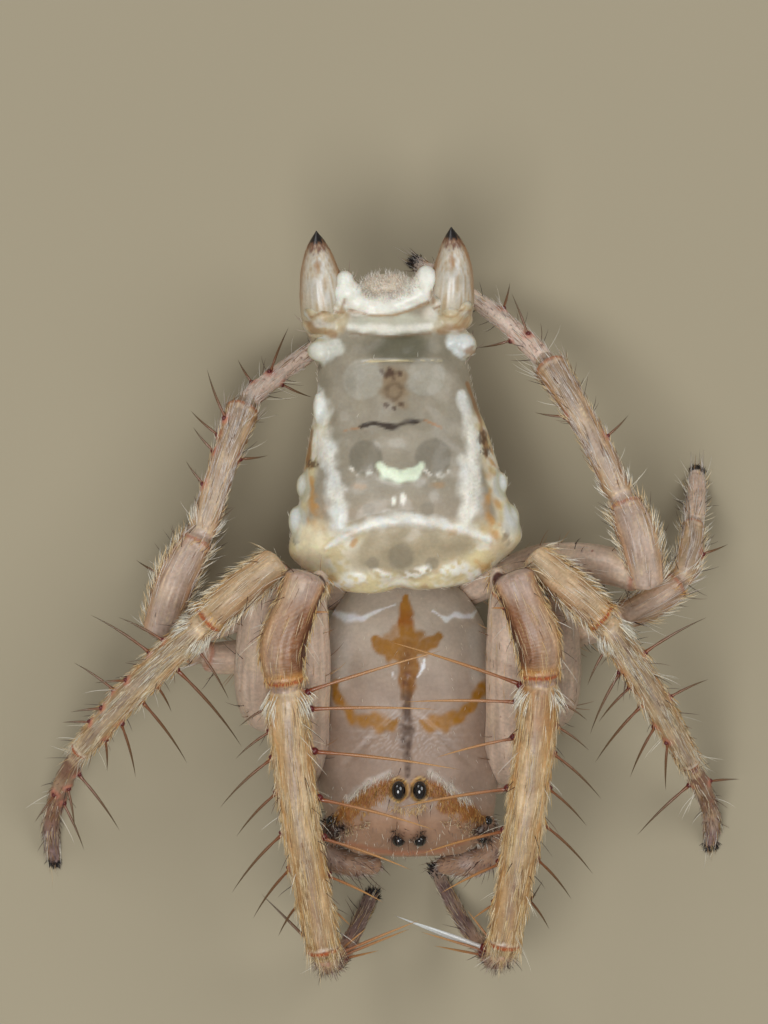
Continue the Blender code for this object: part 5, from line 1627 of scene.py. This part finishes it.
def thorax_paint(places, normals):
    """Glassy grey-beige with an ochre cross and tusks, brown roofs over the face, golden eye rims, painted
    glints and a rear painted paler.
    """
    across, down = marks(places)
    cloud = ripple(places, 0.35, 101)
    fine = ripple(places, 0.05, 102)
    paint = np.tile(CARAPACE_GROUND, (len(places), 1))
    paint = layers(
        paint,
        # Painted light: the rear, under the abdomen's front lip, is painted paler than its own grey-beige to
        # offset the shade that lip casts
        (tone(206, 196, 180), rise(690 - down, 0, 90) * 0.60),
        (tone(196, 180, 166), rise(cloud, 0.0, 1.3) * 0.25),
        (tone(154, 128, 110), rise(down, 660, 740) * 0.7),
        (tone(172, 134, 106), rise(down, 795, 828) * 0.8),
    )
    # Glints, soft sheens, and fine pale lines that fan out from the middle
    turn = np.arctan2(down - 733, across - 408)
    glints = (
        ((332, 612, 5), (345, 617, 10), (362, 619, 6), (378, 611, 3), (395, 605, 1)),
        ((433, 611, 2), (440, 616, 3), (447, 620, 5), (455, 615, 5), (463, 617, 6), (472, 617, 4),
         (477, 611, 2)),
        ((424, 660, 2), (423, 668, 4), (418, 677, 2)), ((392, 671, 1.6), (394, 678, 2)),
    )
    paint = lay(paint, tone(244, 246, 250), strokes(places, glints, 0.6, 0.3, 108) * 0.9)
    sheens = (((345, 632, 16), (342, 684, 12)), ((474, 632, 12), (476, 680, 10)))
    paint = lay(paint, tone(220, 212, 200), strokes(places, sheens, 0.8) * 0.35)
    fan = np.clip(np.sin(turn * 46 + fine), 0, 1) * blot(places, 408, 733, 46, 26, 0, 0.6, 0.0)
    paint = lay(paint, tone(216, 208, 204), fan * 0.35)
    cross = strokes(places, CROSS, 0.30, 0.28, 103) * (0.97 + 0.08 * fine).clip(0, 1)
    paint = layers(
        paint,
        (CROSS_OCHRE, cross * 0.98),
        (tone(116, 62, 8), cross * rise(down, 650, 690) * (0.45 + 0.2 * fine).clip(0, 1)),
        (tone(166, 92, 14), cross * rise(630 - down, 0, 8) * 0.6),
        (tone(112, 62, 10),
         cross * bell(across, 407, 6) * rise(down, 630, 655) * (0.5 + 0.2 * fine).clip(0, 1)),
        (tone(92, 70, 50), cross * rise(down, 686, 698) * 0.7),
        (tone(196, 150, 70), cross * rise(622 - down, 0, 20) * 0.5),
        (tone(164, 112, 18), strokes(places, TUSKS, 0.45, 0.35, 104) * (0.9 + 0.1 * fine).clip(0, 1)),
        (tone(84, 58, 40), stroke(places, MEDIAN, 0.7, 0.3, 105) * (0.75 + 0.25 * fine).clip(0, 1)),
        (ROOF_BROWN, strokes(places, ROOF, 0.4, 0.3, 106) * (0.88 + 0.12 * fine).clip(0, 1)),
        # Painted highlights: pale glints on the slopes above the roofs, behind the rear eyes
        (tone(216, 208, 200), strokes(places, ROOF_GLINTS, 0.8, 0.4, 107) * 0.5),
        (tone(186, 112, 74), stroke(places, LIP_LINE, 0.9, 0.2) * 0.5),
    )
    for px, py in REAR_EYES:
        reach = np.hypot((across - px) / 8.2, (down - py) / 10.6)
        paint = layers(
            paint,
            (tone(198, 148, 74), rise(1.30 - reach, 0, 0.16) * (0.85 + 0.15 * fine)),
            (tone(232, 198, 122), bell(reach, 1.10, 0.12) * rise(fine, 0.0, 0.9) * 0.75),
            (tone(96, 56, 24), bell(reach, 1.32, 0.07) * rise(fine, -0.5, 0.4) * 0.8),
            (tone(50, 28, 16), bell(reach, 0.98, 0.06) * 0.8),
        )
    for px, py in FRONT_EYES:
        paint = lay(paint, tone(110, 76, 60), blot(places, px, py, 10, 11, 0, 0.6) * 0.55)
    for px, py in TUBERCLES:
        paint = lay(paint, tone(74, 50, 42), blot(places, px, py, 13, 13, 0, 0.4, 0.3) * 0.75)
    flank = np.tile(tone(162, 142, 128), (len(places), 1))
    return lay(flank, paint, rise(normals[:, 2], -0.25, 0.15))


def build_thorax(looks):
    items = [draw_form("thorax_form", thorax_form)]
    items.append(draw_run("waist", waist(WAIST_RUN), WAIST_WIDTHS))
    centre, radii = EYE_TURRET
    items.append(draw_ball("turret", mirrored(centre, 1), radii))
    for side in SIDES.values():
        centre, radii = EYE_TUBERCLE
        items.append(draw_ball("tubercle", mirrored(centre, side), radii))
    item = fuse("thorax_skin", items, BODY_VOXEL)
    places, normals = places_of(item), normals_of(item)
    put(item, places + normals * thorax_relief(places, normals)[:, None])
    note(item, "paint", thorax_paint(places_of(item), normals_of(item)))
    grow_head_coat(item, looks)
    finish_piece(item, "skin_cephalothorax", looks["carapace"], "carapace", "cephalothorax")
    for name, side in SIDES.items():
        build_jaw(name, side, looks)
        build_palp(name, side, looks)
        for eye, (place, radius) in EYES.items():
            longer = 1.32 if eye == "eye_rear_median" else 1.0
            smaller = 0.8 if "lateral" in eye else 1.0
            radii = np.array((radius, radius * longer, radius)) * smaller
            lens = draw_ball("lens", mirrored(place, side), radii, 32, 24)
            finish_piece(lens, f"lens{eye[3:]}_{name}", looks["eye"], "eye", f"{eye}_{name}")


ROOF_FUR = (tone(184, 128, 60), tone(150, 98, 44), tone(206, 164, 96))
LUMP_FUR = FUR_BLACK + FUR_DARK + FUR_WHITE[:1]
DOWN_FUR = FUR_WHITE + FUR_GREY[2:]


def grow_head_coat(item, looks):
    coat = Coat(302, HAIR_TAPER)
    long = Coat(303, LONG_TAPER)
    places, normals = places_of(item), normals_of(item)
    above, down = upper(normals), marks(places)[1]
    centre, reach = seen(408, 720, 1.7), 5.2
    forward = np.array((0, -1.0, 0))
    up = np.array((0, -0.3, 1.0))
    beard_way = np.array((0, -1.0, -0.2))
    face_way = np.array((0, -0.3, -1.0))
    roofs = strokes(places, ROOF, 0.5) * above
    tops = strokes(places, ROOF_GLINTS, 0.9) * above
    combs = (((342, 835, 6), (353, 828, 7), (369, 824, 6)), ((446, 823, 6), (462, 825, 7), (475, 833, 6)))
    sides = strokes(places, combs, 0.6) * (normals[:, 2] > -0.2)
    beard = strokes(places, (((392, 806, 5), (408, 811, 7), (424, 806, 5)),), 0.6) * above
    lash = sum(blot(places, px, py - 5, 9, 6, 0, 0.5, 0.0) for px, py in FRONT_EYES) * (normals[:, 2] > -0.2)
    lumps = sum(blot(places, px, py, 11, 13, 0, 0.5, 0.0) for px, py in TUBERCLES) * (normals[:, 2] > -0.3)
    down_all_over = above * 0.25 + 0.3 + rise(down, 760, 800) * 0.5
    face = rise(-normals[:, 1], 0.3, 0.8) * (places[:, 1] < -2.9)
    bristly = blot(places, 408, 800, 40, 40, 0, 0.4, 0.0) * above
    for kind, weight, count, flow, *hairs in (
        (coat, roofs, 900, forward, (0.05, 0.10), (0.006, 0.008), (8, 26), 22, ROOF_FUR),
        (coat, tops, 150, forward, (0.09, 0.16), (0.005, 0.007), (12, 34), 22, FUR_WHITE),
        (coat, sides, 130, up, (0.13, 0.20), (0.009, 0.012), (40, 65), 8, FUR_PALE[::2]),
        (coat, beard, 110, beard_way, (0.06, 0.12), (0.005, 0.007), (6, 24), 26, FUR_PALE + FUR_GOLD),
        (coat, lash, 70, up, (0.08, 0.14), (0.006, 0.009), (20, 55), 26, FUR_BLACK),
        (coat, lumps, 420, up, (0.09, 0.16), (0.007, 0.010), (30, 75), 25, LUMP_FUR),
        (coat, down_all_over, 420, forward, (0.04, 0.08), (0.004, 0.006), (12, 30), 16, DOWN_FUR),
        (coat, face, 200, face_way, (0.06, 0.13), (0.006, 0.008), (12, 40), 20, FUR_GREY + FUR_WHITE),
        (long, bristly, 16, forward, (0.16, 0.28), (0.007, 0.009), (30, 60), 20, FUR_DARK + FUR_WHITE),
    ):
        grow_patch(kind, item, weight, count, flow, *hairs, centre, reach)
    coat.build("coat_head", looks["hair"], "carapace")
    long.build("bristles_head", looks["hair"], "carapace")


def build_jaw(name, side, looks):
    items = [draw_run("jaw", sided(JAW_RUN, side), JAW_WIDTHS),
             draw_run("fang", sided(FANG_RUN, side), FANG_WIDTHS)]
    jaw = fuse("jaw", items, FINE_VOXEL, 1)
    places = places_of(jaw)
    paint = np.tile(tone(146, 108, 84), (len(places), 1))
    paint = lay(paint, tone(92, 52, 32), rise(1.0 - places[:, 2], 0, 0.25))
    paint = lay(paint, tone(38, 18, 12), rise(0.62 - places[:, 2], 0, 0.1))
    note(jaw, "paint", lay(paint, tone(178, 146, 120), rise(ripple(places, 0.1, 111), 0.4, 1.4) * 0.4))
    coat = Coat(310 + side, HAIR_TAPER)
    hairy = rise(places[:, 2], 0.65, 0.9) * (normals_of(jaw)[:, 1] < 0.2)
    grow_patch(coat, jaw, hairy, 260, np.array((0, 0, -1.0)), (0.08, 0.18), (0.008, 0.011), (15, 45), 20,
               FUR_DARK + FUR_GREY, places.mean(axis=0), 1.0)
    coat.build(f"coat_jaw_{name}", looks["hair"], "jaw")
    finish_piece(jaw, f"jaw_{name}", looks["jaw"], "jaw", f"chelicera_{name}")


def build_palp(name, side, looks):
    run = sided(PALP_RUN, side)
    palp = fuse("palp", [draw_run("palp", run, PALP_WIDTHS, 40)], FINE_VOXEL)
    places, normals = places_of(palp), normals_of(palp)
    paint = np.tile(tone(168, 134, 108), (len(places), 1))
    paint = lay(paint, tone(140, 106, 92), rise(ripple(places, 0.12, 121), 0.0, 1.3) * 0.5)
    note(palp, "paint", lay(paint, tone(192, 168, 156), rise(ripple(places, 0.2, 122), 0.3, 1.4) * 0.5))
    shares = np.linspace(0, 1, 40)
    line = along(run, shares)
    ways = unit(np.gradient(line, axis=0))
    coat, long = Coat(320 + side, HAIR_TAPER), Coat(330 + side, LONG_TAPER)
    for kind, count, length, width, lift, tones in (
        (coat, 500, (0.06, 0.12), (0.005, 0.008), (12, 40), FUR_MAUVE),
        (coat, 260, (0.06, 0.13), (0.005, 0.008), (25, 55), FUR_WHITE + FUR_MAUVE),
        (long, 40, (0.20, 0.38), (0.008, 0.011), (30, 60), FUR_DARK),
    ):
        roots, outward = scatter(palp, count, kind.chance)
        at = np.linalg.norm(roots[:, None] - line[None], axis=2).argmin(axis=1)
        patches = on_map(np.arctan2(outward[:, 0], outward[:, 2]) / (2 * math.pi) + 0.5, shares[at])
        paints = blend_tones(kind.chance, count, tones)
        kind.add(roots, outward, ways[at] + np.array((0, -0.5, 0)), patches, length, width, lift, 20,
                 (0.1, 0.35), (paints, paints))
    coat.build(f"coat_palp_{name}", looks["hair"], "palp_skin")
    long.build(f"bristles_palp_{name}", looks["hair"], "palp_skin")
    finish_piece(palp, f"skin_palp_{name}", looks["palp"], "palp_skin", f"palp_{name}")


# Floor, light and camera: each light's place, size and power, in metres and watts
FLOOR_SIZE = 0.6
LIGHTS = {
    "key": ((-0.009, -0.018, 0.063), 0.032, 0.020),
    "fill": ((0.034, 0.016, 0.052), 0.036, 0.010),
    "back": ((-0.026, 0.040, 0.044), 0.030, 0.006),
}


def make_stage():
    bpy.context.scene.view_settings.view_transform = "Standard"
    deselect()
    bpy.ops.mesh.primitive_plane_add(size=FLOOR_SIZE, location=(0, 0, 0))
    floor = bpy.context.object
    floor.name = "floor"
    look = Look("floor")
    place = look.add("ShaderNodeTexCoord").outputs["Object"]
    cloud = look.noise(60.0, place, 2.0)
    look.link(look.mix("MIX", cloud, tone(166, 156, 132), tone(176, 166, 142)),
              look.shader.inputs["Base Color"])
    look.set(Roughness=0.9)
    floor.data.materials.append(look.material)
    world = bpy.data.worlds.new("studio")
    world.use_nodes = True
    world.node_tree.nodes["Background"].inputs["Color"].default_value = (1.0, 0.98, 0.95, 1)
    world.node_tree.nodes["Background"].inputs["Strength"].default_value = 0.22
    bpy.context.scene.world = world
    for name, (place, size, power) in LIGHTS.items():
        add_light(name, place, size, power)
    camera_data = bpy.data.cameras.new("camera")
    camera_data.lens = LENS
    camera_data.sensor_width = SENSOR
    camera_data.clip_start = 0.002
    camera_data.clip_end = 2.0
    camera = bpy.data.objects.new("camera", camera_data)
    bpy.context.scene.collection.objects.link(camera)
    away = FRAME_SIZE[1] / PER_MM * LENS / SENSOR
    camera.location = Vector(seen(FRAME_SIZE[0] / 2, FRAME_SIZE[1] / 2, VIEW_LEVEL + away)) * MM
    bpy.context.scene.camera = camera


def add_light(name, place, size, power):
    data = bpy.data.lights.new(name, "AREA")
    data.shape = "DISK"
    data.size = size
    data.energy = power
    light = bpy.data.objects.new(name, data)
    bpy.context.scene.collection.objects.link(light)
    light.location = place
    light.rotation_euler = (Vector((0, 0, 0.002)) - light.location).to_track_quat("-Z", "Y").to_euler()


def main():
    looks = {
        "leg": skin_look("leg skin", 0.42, 0.15, 0.35, 0.05, 0.004, 0.16),
        "abdomen": skin_look("abdomen skin", 0.42, 0.22, 0.45, 0.05, 0.003, 0.0, 0.06),
        "carapace": skin_look("carapace", 0.50, 0.12, 0.45, 0.05, 0.002, 0.0, 0.07),
        "horn": skin_look("horn", 0.35, 0.3, 0.3, 0.04, 0.002, 0.0, 0.07),
        "jaw": skin_look("jaw", 0.30, 0.5, 0.1, 0.04, 0.003),
        "palp": skin_look("palp skin", 0.5, 0.1, 0.3, 0.04, 0.004),
        "spine": plain_look("spine", 0.30, 0.3),
        "hair": plain_look("hair", 0.42),
        "eye": plain_look("eye", 0.05, 1.0, (0.006, 0.005, 0.005)),
    }
    for name in LEG_RUNS:
        build_leg(name, looks)
    build_abdomen(looks)
    build_horns(looks)
    build_thorax(looks)
    make_stage()


main()
